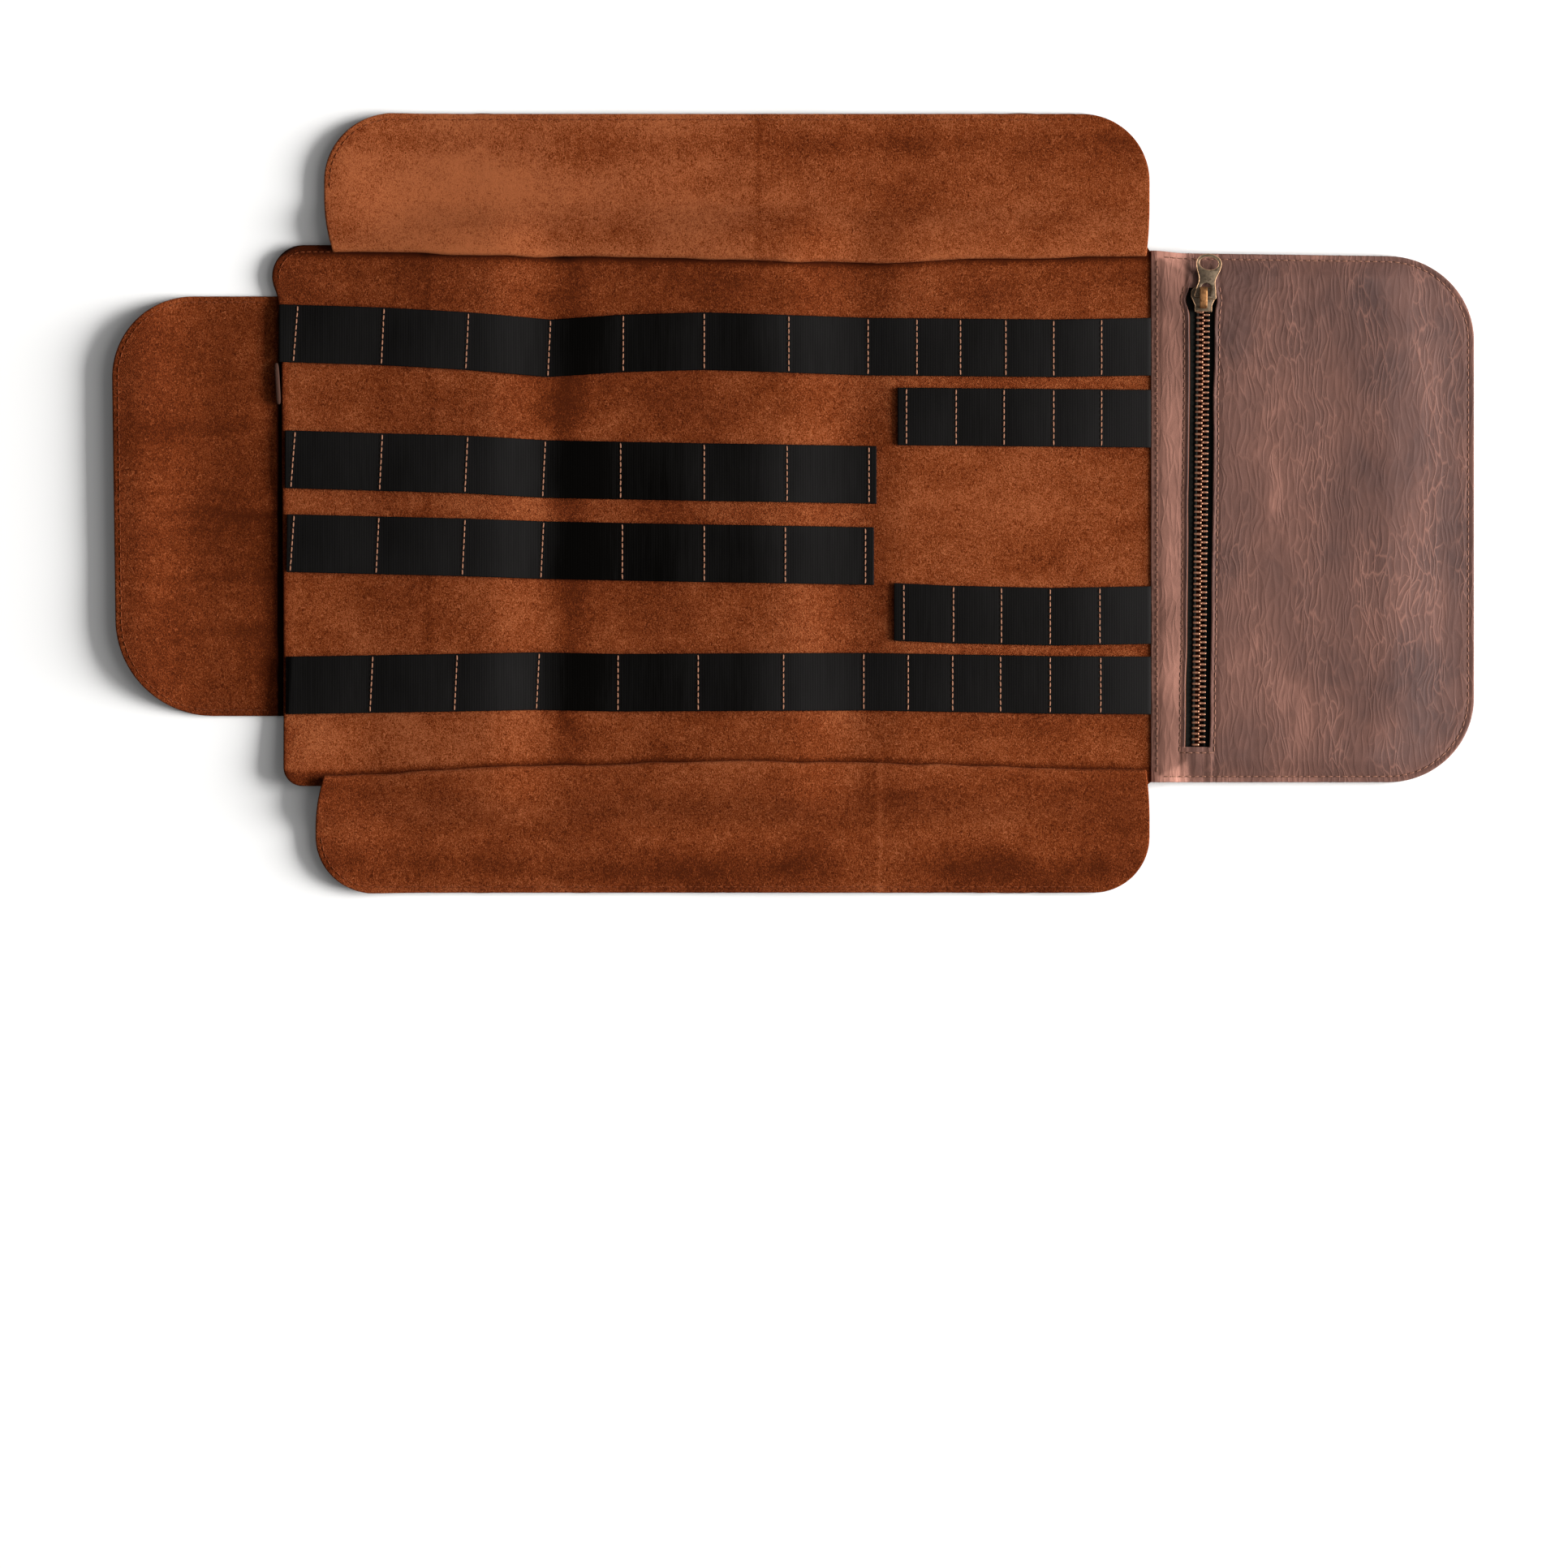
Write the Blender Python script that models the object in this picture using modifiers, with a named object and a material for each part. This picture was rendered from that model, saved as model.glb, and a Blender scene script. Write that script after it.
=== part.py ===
"""Leather tool roll for a motorcycle, opened flat with its suede inside up.

A main panel carries six rows of elastic tool loops. A zip pocket is lapped over its right edge,
a long flap is sewn along its top edge and another along its bottom edge, both folded outwards,
and a short flap is lapped under its left edge. Two closing straps lie flat beneath the panel,
rooted at the spine where the pocket begins.

Units are metres and +Z is up. +X runs from the left flap to the pocket, +Y to the top flap. The
origin is on the floor, under the middle of the opened roll's outline. A "seat" is a height, a
"reach" is how far a piece stands out from the edge that carries it, and a "lap" is the margin
that lies under or over its neighbour.
"""
import math
from collections import namedtuple

import bmesh
import bpy
from mathutils import Vector

# Driving dimensions of the leather
LEATHER = 0.0016
GAP = 0.0003
PANEL_LENGTH = 0.3864
PANEL_WIDTH = 0.2400
PANEL_TOP_RADIUS = 0.0140
PANEL_BOTTOM_RADIUS = 0.0060
PANEL_BULGE = 0.0042
WAVE_HEIGHT = 0.0034

# Long flaps, folded outwards over the panel's margins
TOP_FLAP_REACH = 0.0583
TOP_FLAP_START = 0.0189
TOP_FLAP_RADIUS = 0.0330
TOP_FOLD_REACH = 0.0080
BOTTOM_FLAP_REACH = 0.0473
BOTTOM_FLAP_START = 0.0151
BOTTOM_FLAP_RADIUS = 0.0250
BOTTOM_FOLD_REACH = 0.0110
FLAP_END_CLEARANCE = 0.0013
FOLD_RADIUS = 0.00115
FOLD_SLOPE_RUN = 0.0200

# Short flap at the left, with the crease that the keeper tab stands in
LEFT_FLAP_REACH = 0.0750
LEFT_FLAP_WIDTH = 0.1862
LEFT_FLAP_RISE = 0.0042
LEFT_FLAP_TOP_RADIUS = 0.0360
LEFT_FLAP_BOTTOM_RADIUS = 0.0425
LEFT_FLAP_LEAN = 0.0025
LEFT_FLAP_LAP = 0.0080
CREASE_WIDTH = 0.0036
HUMP_RUN = 0.0160
HUMP_HEIGHT = 0.0026

TAB_LENGTH = 0.0184
TAB_THICKNESS = 0.0024
TAB_HEIGHT = 0.0080
TAB_ACROSS = 0.744

# Zip pocket
POCKET_LENGTH = 0.1426
POCKET_WIDTH = 0.2366
POCKET_TOP_RADIUS = 0.0380
POCKET_BOTTOM_RADIUS = 0.0380
POCKET_TAPER = 0.0020
POCKET_FILL = 0.0052
POCKET_RISE = 0.0110
PANEL_LAP = 0.0050
BACK_LAP = 0.0080

# Zip, measured from the middle of its slot
SLOT_LENGTH = 0.2052
SLOT_WIDTH = 0.0119
SLOT_SETBACK = 0.0213
SLOT_SLANT = math.radians(0.62)
TAPE_WIDTH = 0.0069
TAPE_THICKNESS = 0.0006
TAPE_MARGIN = 0.0030
CHAIN_WIDTH = 0.0056
TOOTH_PITCH = 0.00246
TOOTH_HEIGHT = 0.0022
TOOTH_OVERLAP = 0.00025
TOOTH_ROOT = 0.0008

SLIDER_LENGTH = 0.0111
SLIDER_FRONT_WIDTH = 0.0112
SLIDER_REAR_WIDTH = 0.0078
SLIDER_PLATE = 0.0008
SLIDER_FLANGE = 0.0007
SLIDER_POST_RADIUS = 0.0012
SLIDER_FROM_END = 0.0068
BAIL_WIDTH = 0.0032
BAIL_THICKNESS = 0.0009
BAIL_REAR = 0.0041
BAIL_FRONT = 0.0055

PULLER_THICKNESS = 0.0012
PULLER_BAR = 0.0013
PULLER_LENGTH = 0.0193
PULLER_FOOT_WIDTH = 0.0100
PULLER_WAIST_WIDTH = 0.0080
PULLER_HEAD_WIDTH = 0.0117
PULLER_HOLE_LENGTH = 0.0058
PULLER_HOLE_WIDTH = 0.0086
PULLER_SLOT_WIDTH = 0.0046
PULLER_SLOT_LENGTH = 0.0060
PULLER_AXIS_FORWARD = 0.0010
PULLER_LEAN = math.radians(5.0)
PULLER_TILT = math.radians(2.0)

# Elastic loops and closing straps
ELASTIC_WIDTH = 0.0262
ELASTIC_THICKNESS = 0.0015
ELASTIC_GAP = 0.0004
LOOP_RISE = 0.060
STRAP_WIDTH = 0.0254
STRAP_LENGTH = 0.3300
STRAP_ACROSS = {"strap_upper": 0.810, "strap_lower": 0.191}

# Flat outlines are drawn in millimetres
MILLIMETRE = 0.001

# How finely the curved stretches are divided
WAVE_STEPS = 5
FOLD_STEPS = 5
SLOPE_STEPS = 5
CORNER_STEPS = 5
LOOP_STEPS = 4
HUMP_STEPS = 8
ARC_STEPS = 8

# Ripples of the panel: a share of its length, and a share of WAVE_HEIGHT
WaveRow = namedtuple("WaveRow", "along height")
PANEL_WAVES = (
    WaveRow(0.000, 0.00),
    WaveRow(0.230, 0.90),
    WaveRow(0.306, 0.00),
    WaveRow(0.570, 1.00),
    WaveRow(0.653, 0.05),
    WaveRow(0.720, 0.40),
    WaveRow(1.000, 0.00),
)

# Left edge of the panel: a share of its width, and how far right in shares of PANEL_BULGE
EdgeRow = namedtuple("EdgeRow", "across shift")
PANEL_LEFT_EDGE = (
    EdgeRow(0.000, 0.22),
    EdgeRow(0.130, 0.22),
    EdgeRow(0.820, 0.00),
    EdgeRow(0.895, -0.38),
    EdgeRow(0.940, -1.00),
    EdgeRow(1.000, -1.00),
)

# Inner fold line of each long flap: a share of its length, and a share of its fold reach
FoldRow = namedtuple("FoldRow", "along reach")
TOP_FOLD = (
    FoldRow(0.00, 0.40),
    FoldRow(0.30, 0.68),
    FoldRow(0.67, 1.00),
    FoldRow(0.79, 0.77),
    FoldRow(1.00, 0.63),
)
BOTTOM_FOLD = (
    FoldRow(0.00, 0.44),
    FoldRow(0.28, 0.85),
    FoldRow(0.49, 1.00),
    FoldRow(0.60, 0.96),
    FoldRow(1.00, 0.65),
)

# Middle line of each elastic band, in shares of the panel's length and width
RouteRow = namedtuple("RouteRow", "along across")
ELASTIC_ROUTES = {
    "elastic_top": (
        RouteRow(0.000, 0.837),
        RouteRow(0.307, 0.809),
        RouteRow(0.485, 0.822),
        RouteRow(0.831, 0.809),
        RouteRow(0.994, 0.812),
    ),
    "elastic_upper": (RouteRow(0.005, 0.604), RouteRow(0.301, 0.580), RouteRow(0.683, 0.575)),
    "elastic_middle": (RouteRow(0.006, 0.449), RouteRow(0.299, 0.434), RouteRow(0.680, 0.425)),
    "elastic_bottom": (
        RouteRow(0.004, 0.186),
        RouteRow(0.293, 0.194),
        RouteRow(0.667, 0.191),
        RouteRow(0.993, 0.185),
    ),
    "elastic_short_upper": (RouteRow(0.707, 0.683), RouteRow(0.994, 0.679)),
    "elastic_short_lower": (RouteRow(0.703, 0.322), RouteRow(0.850, 0.314), RouteRow(0.993, 0.316)),
}

# Columns of stitching: where the top band is sewn, how far right the same column has moved at
# the bottom band, both in shares of the panel's length, and the bands that the column sews
LONG_BANDS = ("elastic_top", "elastic_bottom")
WIDE_BANDS = LONG_BANDS + ("elastic_upper", "elastic_middle")
SHORT_BANDS = ("elastic_short_upper", "elastic_short_lower")
StitchColumn = namedtuple("StitchColumn", "along lean bands")
STITCH_COLUMNS = (
    StitchColumn(0.015, -0.010, ("elastic_top", "elastic_upper", "elastic_middle")),
    StitchColumn(0.115, -0.013, WIDE_BANDS),
    StitchColumn(0.213, -0.013, WIDE_BANDS),
    StitchColumn(0.306, -0.013, WIDE_BANDS),
    StitchColumn(0.392, -0.007, WIDE_BANDS),
    StitchColumn(0.485, -0.007, WIDE_BANDS),
    StitchColumn(0.581, -0.006, WIDE_BANDS),
    StitchColumn(0.672, -0.005, WIDE_BANDS),
    StitchColumn(0.718, -0.006, SHORT_BANDS),
    StitchColumn(0.728, -0.010, LONG_BANDS),
    StitchColumn(0.778, -0.009, LONG_BANDS + SHORT_BANDS),
    StitchColumn(0.830, -0.006, LONG_BANDS + SHORT_BANDS),
    StitchColumn(0.885, -0.004, LONG_BANDS + SHORT_BANDS),
    StitchColumn(0.940, 0.000, LONG_BANDS + SHORT_BANDS),
)

# Colour, roughness and metallic value of each material
Finish = namedtuple("Finish", "color roughness metallic")
SUEDE = Finish((0.26, 0.065, 0.020), 0.95, 0.0)
GRAIN_LEATHER = Finish((0.19, 0.090, 0.065), 0.55, 0.0)
STRAP_LEATHER = Finish((0.10, 0.045, 0.026), 0.60, 0.0)
ELASTIC = Finish((0.010, 0.010, 0.010), 0.85, 0.0)
TAPE = Finish((0.012, 0.014, 0.012), 0.90, 0.0)
COPPER = Finish((0.55, 0.27, 0.16), 0.35, 1.0)
AGED_BRASS = Finish((0.20, 0.13, 0.08), 0.40, 1.0)

# Places that follow from the sizes
TOTAL_LENGTH = LEFT_FLAP_REACH + PANEL_LENGTH + POCKET_LENGTH
TOTAL_WIDTH = TOP_FLAP_REACH + PANEL_WIDTH + BOTTOM_FLAP_REACH
CREASE_X = LEFT_FLAP_REACH - TOTAL_LENGTH / 2
SPINE_X = CREASE_X + PANEL_LENGTH
PANEL_BOTTOM_Y = BOTTOM_FLAP_REACH - TOTAL_WIDTH / 2
PANEL_TOP_Y = PANEL_BOTTOM_Y + PANEL_WIDTH
PANEL_MIDDLE_Y = (PANEL_BOTTOM_Y + PANEL_TOP_Y) / 2
PANEL_SEAT = LEATHER + GAP

POCKET_RIGHT_X = SPINE_X + POCKET_LENGTH
POCKET_BOTTOM_Y = PANEL_MIDDLE_Y - POCKET_WIDTH / 2
POCKET_TOP_Y = PANEL_MIDDLE_Y + POCKET_WIDTH / 2
POCKET_CROWN_Z = LEATHER + POCKET_FILL + LEATHER / 2
POCKET_RIM_Z = LEATHER + GAP + LEATHER / 2
POCKET_SEAM_Z = PANEL_SEAT + LEATHER + GAP + LEATHER / 2

ZIP_ORIGIN = Vector((SPINE_X + SLOT_SETBACK, PANEL_MIDDLE_Y, 0.0))
TAPE_Z = POCKET_CROWN_Z - LEATHER / 2 - GAP - TAPE_THICKNESS / 2
SLIDER_Y = SLOT_LENGTH / 2 - SLIDER_FROM_END
CHANNEL_HALF = TOOTH_HEIGHT / 2 + GAP
SLIDER_TOP_Z = TAPE_Z + CHANNEL_HALF + SLIDER_PLATE
PULLER_SWEEP = math.hypot(PULLER_BAR, PULLER_THICKNESS) / 2
PULLER_AXIS_Z = SLIDER_TOP_Z + GAP + PULLER_SWEEP
BAIL_EYE_Z = PULLER_AXIS_Z + PULLER_SWEEP + GAP


def mix(start, end, share):
    """The value a share of the way from start to end."""
    return start + (end - start) * share


def ease(share):
    """A share from 0 to 1 that leaves and arrives level."""
    share = min(max(share, 0.0), 1.0)
    return share * share * (3.0 - 2.0 * share)


def follow(rows, place):
    """Second column of a table at a place in its first, eased from row to row."""
    if place <= rows[0][0]:
        return rows[0][1]
    for low, high in zip(rows, rows[1:]):
        if place <= high[0]:
            return mix(low[1], high[1], ease((place - low[0]) / (high[0] - low[0])))
    return rows[-1][1]


def divide(stops, steps):
    """The stops with each stretch between them cut into equal steps."""
    places = [stops[0]]
    for low, high in zip(stops, stops[1:]):
        places += [mix(low, high, step / steps) for step in range(1, steps + 1)]
    return places


def thin_out(places, least):
    """Sorted places without those that crowd the one before them or the last."""
    ordered = sorted(places)
    kept = [ordered[0]]
    for place in ordered[1:-1]:
        if place - kept[-1] > least and ordered[-1] - place > least:
            kept.append(place)
    return kept + [ordered[-1]]


def corner_depths(radius, steps=CORNER_STEPS):
    """Distances from an edge at which rows follow a round corner."""
    return [radius * (1.0 - math.cos(math.pi / 2 * step / steps)) for step in range(steps + 1)]


def corner_inset(depth, radius):
    """How far a round corner draws the side in, at a depth from the edge."""
    if depth >= radius:
        return 0.0
    return radius - math.sqrt(radius ** 2 - (radius - max(depth, 0.0)) ** 2)


def arc(centre, radius, start, end, steps=ARC_STEPS, flatten=1.0):
    """Points along an arc in degrees, with its second axis flattened."""
    points = []
    for step in range(steps + 1):
        angle = math.radians(mix(start, end, step / steps))
        points.append((
            centre[0] + radius * math.cos(angle),
            centre[1] + radius * flatten * math.sin(angle),
        ))
    return points


def make_material(name, finish):
    """A Principled material with a plain colour."""
    material = bpy.data.materials.new(name)
    material.use_nodes = True
    shader = material.node_tree.nodes["Principled BSDF"]
    shader.inputs["Base Color"].default_value = (*finish.color, 1.0)
    shader.inputs["Roughness"].default_value = finish.roughness
    shader.inputs["Metallic"].default_value = finish.metallic
    material.diffuse_color = (*finish.color, 1.0)
    return material


class Workshop:
    """The collections and the empty that the pieces are put in and parented to."""

    def __init__(self):
        scene = bpy.context.scene
        for leftover in list(bpy.data.objects):
            bpy.data.objects.remove(leftover, do_unlink=True)
        self.parts = bpy.data.collections.new("motorcycle_tool_roll")
        self.cutters = bpy.data.collections.new("joined_shapes")
        scene.collection.children.link(self.parts)
        scene.collection.children.link(self.cutters)
        self.zip_frame = bpy.data.objects.new("zip_frame", None)
        self.zip_frame.location = ZIP_ORIGIN
        self.zip_frame.rotation_euler.z = -SLOT_SLANT
        self.parts.objects.link(self.zip_frame)

    def finish(self, piece, finish, smooth=False):
        """Gives a piece its own material and its shading."""
        piece.data.materials.append(make_material(piece.name + "_material", finish))
        if smooth and piece.type == "MESH":
            piece.data.shade_smooth()
            piece.data.set_sharp_from_angle(angle=math.radians(40))

    def wall(self, piece, thickness):
        """Thickens an open surface equally to both sides."""
        wall = piece.modifiers.new("wall", "SOLIDIFY")
        wall.thickness = thickness
        wall.offset = 0.0
        wall.use_even_offset = True

    def sheet(self, name, columns, rows, place, thickness, finish, is_open=None):
        """A wall of even thickness about a surface that place(column, row) describes."""
        across = len(columns) - 1
        along = len(rows) - 1
        grid = bmesh.new()
        bmesh.ops.create_grid(grid, x_segments=across, y_segments=along, size=0.5)
        if is_open:
            openings = []
            for face in grid.faces:
                middle = face.calc_center_median()
                column = int((middle.x + 0.5) * across)
                row = int((middle.y + 0.5) * along)
                if is_open(columns[column], rows[row]):
                    openings.append(face)
            bmesh.ops.delete(grid, geom=openings, context="FACES")
        for vertex in grid.verts:
            column = round((vertex.co.x + 0.5) * across)
            row = round((vertex.co.y + 0.5) * along)
            vertex.co = place(columns[column], rows[row])
        mesh = bpy.data.meshes.new(name)
        grid.to_mesh(mesh)
        grid.free()
        piece = bpy.data.objects.new(name, mesh)
        self.parts.objects.link(piece)
        self.wall(piece, thickness)
        self.finish(piece, finish, smooth=True)
        return piece

    def outline(self, name, loops, thickness, finish=None, parent=None):
        """A flat plate cut to its outer loop, drawn in millimetres; further loops are its holes."""
        curve = bpy.data.curves.new(name, "CURVE")
        curve.dimensions = "2D"
        curve.fill_mode = "BOTH"
        curve.extrude = thickness / 2 / MILLIMETRE
        curve.render_resolution_u = 0
        for loop in loops:
            spline = curve.splines.new("POLY")
            spline.points.add(len(loop) - 1)
            for point, (x, y) in zip(spline.points, loop):
                point.co = (x / MILLIMETRE, y / MILLIMETRE, 0.0, 1.0)
            spline.use_cyclic_u = True
        piece = bpy.data.objects.new(name, curve)
        piece.scale = (MILLIMETRE, MILLIMETRE, MILLIMETRE)
        piece.parent = parent
        self.parts.objects.link(piece)
        if finish:
            self.finish(piece, finish)
        return piece

    def comb(self, name, loop, thickness, finish, parent):
        """A flat plate from one long many-toothed loop, walled to its thickness."""
        blank = bmesh.new()
        blank.faces.new([blank.verts.new((x, y, 0.0)) for x, y in loop])
        blank.normal_update()
        mesh = bpy.data.meshes.new(name)
        blank.to_mesh(mesh)
        blank.free()
        piece = bpy.data.objects.new(name, mesh)
        piece.parent = parent
        self.parts.objects.link(piece)
        self.wall(piece, thickness)
        self.finish(piece, finish)
        return piece

    def meshed(self, curve_piece):
        """The same piece as a closed mesh, ready to be joined to others."""
        bpy.context.view_layer.update()
        evaluated = curve_piece.evaluated_get(bpy.context.evaluated_depsgraph_get())
        mesh = bpy.data.meshes.new_from_object(evaluated)
        mesh.transform(curve_piece.matrix_world)
        weld = bmesh.new()
        weld.from_mesh(mesh)
        bmesh.ops.remove_doubles(weld, verts=weld.verts, dist=1e-6)
        bmesh.ops.recalc_face_normals(weld, faces=weld.faces)
        weld.to_mesh(mesh)
        weld.free()
        name = curve_piece.name
        piece = bpy.data.objects.new(name, mesh)
        self.parts.objects.link(piece)
        bpy.data.objects.remove(curve_piece, do_unlink=True)
        piece.name = name
        return piece

    def join(self, body, others):
        """One solid from several that reach into each other."""
        for other in others:
            self.parts.objects.unlink(other)
            self.cutters.objects.link(other)
            other.hide_render = True
            other.display_type = "WIRE"
            union = body.modifiers.new("with_" + other.name, "BOOLEAN")
            union.operation = "UNION"
            union.object = other
        return body


def panel_share(x):
    """Share of the panel's length at x."""
    return (x - CREASE_X) / PANEL_LENGTH


def panel_x(share):
    """X at a share of the panel's length."""
    return CREASE_X + share * PANEL_LENGTH


def panel_y(share):
    """Y at a share of the panel's width."""
    return PANEL_BOTTOM_Y + share * PANEL_WIDTH


def panel_stations():
    """X of the lines across which the panel's ripples are drawn."""
    return [panel_x(share) for share in divide([row.along for row in PANEL_WAVES], WAVE_STEPS)]


def panel_underside(x):
    """Height of the panel's underside, which ripples above the straps from station to station."""
    stations = panel_stations()
    heights = [PANEL_SEAT + WAVE_HEIGHT * follow(PANEL_WAVES, panel_share(at)) for at in stations]
    for index in range(len(stations) - 1):
        if stations[index] <= x <= stations[index + 1]:
            share = (x - stations[index]) / (stations[index + 1] - stations[index])
            return mix(heights[index], heights[index + 1], share)
    return heights[0] if x < stations[0] else heights[-1]


def panel_top(x):
    """Height of the panel's suede side."""
    return panel_underside(x) + LEATHER


def panel_left_x(y):
    """Left edge of the panel, with its round corners."""
    across = (y - PANEL_BOTTOM_Y) / PANEL_WIDTH
    edge = CREASE_X + PANEL_BULGE * follow(PANEL_LEFT_EDGE, across)
    top = corner_inset(PANEL_TOP_Y - y, PANEL_TOP_RADIUS)
    bottom = corner_inset(y - PANEL_BOTTOM_Y, PANEL_BOTTOM_RADIUS)
    return edge + top + bottom


def make_panel(shop):
    """Main panel, rippling over its straps."""
    columns = panel_stations() + [SPINE_X + PANEL_LAP]
    rows = [PANEL_BOTTOM_Y + depth for depth in corner_depths(PANEL_BOTTOM_RADIUS, 3)]
    rows += [panel_y(row.across) for row in PANEL_LEFT_EDGE[1:-1]]
    rows += [PANEL_TOP_Y - depth for depth in corner_depths(PANEL_TOP_RADIUS, 4)]

    def place(station, y):
        x = panel_left_x(y) if station == columns[0] else station
        return (x, y, panel_underside(x) + LEATHER / 2)

    shop.sheet("main_panel", columns, thin_out(rows, LEATHER), place, LEATHER, SUEDE)


class LongFlap:
    """A flap sewn along a long edge of the panel and folded outwards over the margin."""

    def __init__(self, name, side, start, reach, radius, fold_reach, fold_rows):
        self.name = name
        self.side = side
        self.left = CREASE_X + start
        self.right = SPINE_X - FLAP_END_CLEARANCE
        self.reach = reach
        self.radius = min(radius, reach - GAP)
        self.fold_reach = fold_reach
        self.fold_rows = fold_rows
        self.edge_y = PANEL_TOP_Y if side > 0 else PANEL_BOTTOM_Y
        self.slope_run = min(FOLD_SLOPE_RUN, reach / 2)

    def profile(self, x):
        """Distances beyond the panel's edge and heights, from the sewn edge to the free one."""
        share = (x - self.left) / (self.right - self.left)
        fold = self.fold_reach * follow(self.fold_rows, share)
        turn = max(fold - LEATHER / 2 - FOLD_RADIUS, GAP)
        leg = panel_top(x) + GAP + LEATHER / 2
        points = [(0.0, leg)]
        for step in range(FOLD_STEPS + 1):
            angle = math.pi * step / FOLD_STEPS
            points.append((
                -turn - FOLD_RADIUS * math.sin(angle),
                leg + FOLD_RADIUS * (1.0 - math.cos(angle)),
            ))
        over = leg + 2 * FOLD_RADIUS
        for step in range(SLOPE_STEPS + 1):
            share = step / SLOPE_STEPS
            points.append((LEATHER + share * self.slope_run, mix(over, LEATHER / 2, ease(share))))
        return points

    def make(self, shop):
        """The whole flap as one bent sheet."""
        bends = FOLD_STEPS + SLOPE_STEPS + 3
        depths = [depth for depth in reversed(corner_depths(self.radius))]
        rows = list(range(bends + len(depths)))
        within = [x for x in panel_stations() if self.left + LEATHER < x < self.right - LEATHER]
        columns = [self.left] + within + [self.right]

        def place(station, row):
            outer = row >= bends
            depth = depths[row - bends] if outer else self.radius
            inset = corner_inset(depth, self.radius)
            share = (station - self.left) / (self.right - self.left)
            x = mix(self.left + inset, self.right - inset, share)
            if outer:
                out, z = self.reach - depth, LEATHER / 2
            else:
                out, z = self.profile(x)[row]
            return (x, self.edge_y + self.side * out, z)

        shop.sheet(self.name, columns, rows, place, LEATHER, SUEDE)


def left_flap_z(x):
    """Mid height of the short flap: flat, then a hump beside the crease, then its lap."""
    hump_end = CREASE_X - CREASE_WIDTH
    share = (x - (hump_end - HUMP_RUN)) / HUMP_RUN
    bump = math.sin(math.pi * share) ** 2 if 0.0 < share < 1.0 else 0.0
    return LEATHER / 2 + HUMP_HEIGHT * bump


def make_left_flap(shop):
    """Short flap lapped under the panel's left edge."""
    middle = PANEL_MIDDLE_Y + LEFT_FLAP_RISE
    low = middle - LEFT_FLAP_WIDTH / 2
    high = middle + LEFT_FLAP_WIDTH / 2
    hump_end = CREASE_X - CREASE_WIDTH
    lap_end = CREASE_X + LEFT_FLAP_LAP
    hump_start = hump_end - HUMP_RUN
    left = CREASE_X - LEFT_FLAP_REACH
    rows = [low + depth for depth in corner_depths(LEFT_FLAP_BOTTOM_RADIUS)]
    rows += [high - depth for depth in corner_depths(LEFT_FLAP_TOP_RADIUS)]
    columns = divide([0.0, 1.0], 2) + divide([1.0, 2.0], HUMP_STEPS)[1:] + [3.0]

    def place(stage, y):
        lean = LEFT_FLAP_LEAN * max(high - LEFT_FLAP_TOP_RADIUS - y, 0.0) / LEFT_FLAP_WIDTH
        inset = corner_inset(high - y, LEFT_FLAP_TOP_RADIUS)
        inset += corner_inset(y - low, LEFT_FLAP_BOTTOM_RADIUS)
        if stage <= 1.0:
            x = mix(left + lean + inset, hump_start, stage)
        elif stage <= 2.0:
            x = mix(hump_start, hump_end, stage - 1.0)
        else:
            x = lap_end
        return (x, y, left_flap_z(x))

    shop.sheet("left_flap", columns, thin_out(rows, LEATHER), place, LEATHER, SUEDE)


def make_keeper_tab(shop):
    """Small tab standing edge-on in the crease beside the panel."""
    half = TAB_LENGTH / 2
    radius = TAB_HEIGHT / 2.5
    loop = [(-half, 0.0), (half, 0.0)]
    loop += arc((half - radius, TAB_HEIGHT - radius), radius, 0, 90, 4)
    loop += arc((-half + radius, TAB_HEIGHT - radius), radius, 90, 180, 4)
    tab = shop.outline("keeper_tab", [loop], TAB_THICKNESS, SUEDE)
    tab.rotation_euler = (math.pi / 2, 0.0, math.pi / 2)
    tab.location = (CREASE_X - CREASE_WIDTH / 2, panel_y(TAB_ACROSS), LEATHER + GAP)


def pocket_right_x(y):
    """Right edge of the pocket, with its round corners."""
    top = corner_inset(POCKET_TOP_Y - y, POCKET_TOP_RADIUS)
    bottom = corner_inset(y - POCKET_BOTTOM_Y, POCKET_BOTTOM_RADIUS)
    return POCKET_RIGHT_X - top - bottom


def pocket_y(x, y):
    """Y after the pocket's top edge has drawn in towards the right."""
    along = (x - SPINE_X) / POCKET_LENGTH
    across = (y - POCKET_BOTTOM_Y) / POCKET_WIDTH
    return y - POCKET_TAPER * along * across


def pocket_rows():
    """Y of the rows that follow the pocket's corners."""
    rows = [POCKET_BOTTOM_Y + depth for depth in corner_depths(POCKET_BOTTOM_RADIUS)]
    rows += [POCKET_TOP_Y - depth for depth in corner_depths(POCKET_TOP_RADIUS)]
    return rows


def make_pocket_back(shop):
    """Outer wall of the pocket, flat on the floor and lapped under the panel."""
    left = SPINE_X - BACK_LAP

    def place(share, y):
        x = mix(left, pocket_right_x(y), share)
        return (x, pocket_y(x, y), LEATHER / 2)

    rows = thin_out(pocket_rows(), LEATHER)
    shop.sheet("pocket_back", divide([0.0, 1.0], 3), rows, place, LEATHER, GRAIN_LEATHER)


def pocket_front_z(x, y):
    """Mid height of the pocket's upper wall, which rises from its sewn edges."""
    past_lap = ease((x - SPINE_X - PANEL_LAP - LEATHER) / POCKET_RISE)
    edge = mix(POCKET_SEAM_Z, POCKET_RIM_Z, past_lap)
    nearest = min(x - SPINE_X, pocket_right_x(y) - x, y - POCKET_BOTTOM_Y, POCKET_TOP_Y - y)
    return mix(edge, POCKET_CROWN_Z, ease(nearest / POCKET_RISE))


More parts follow.
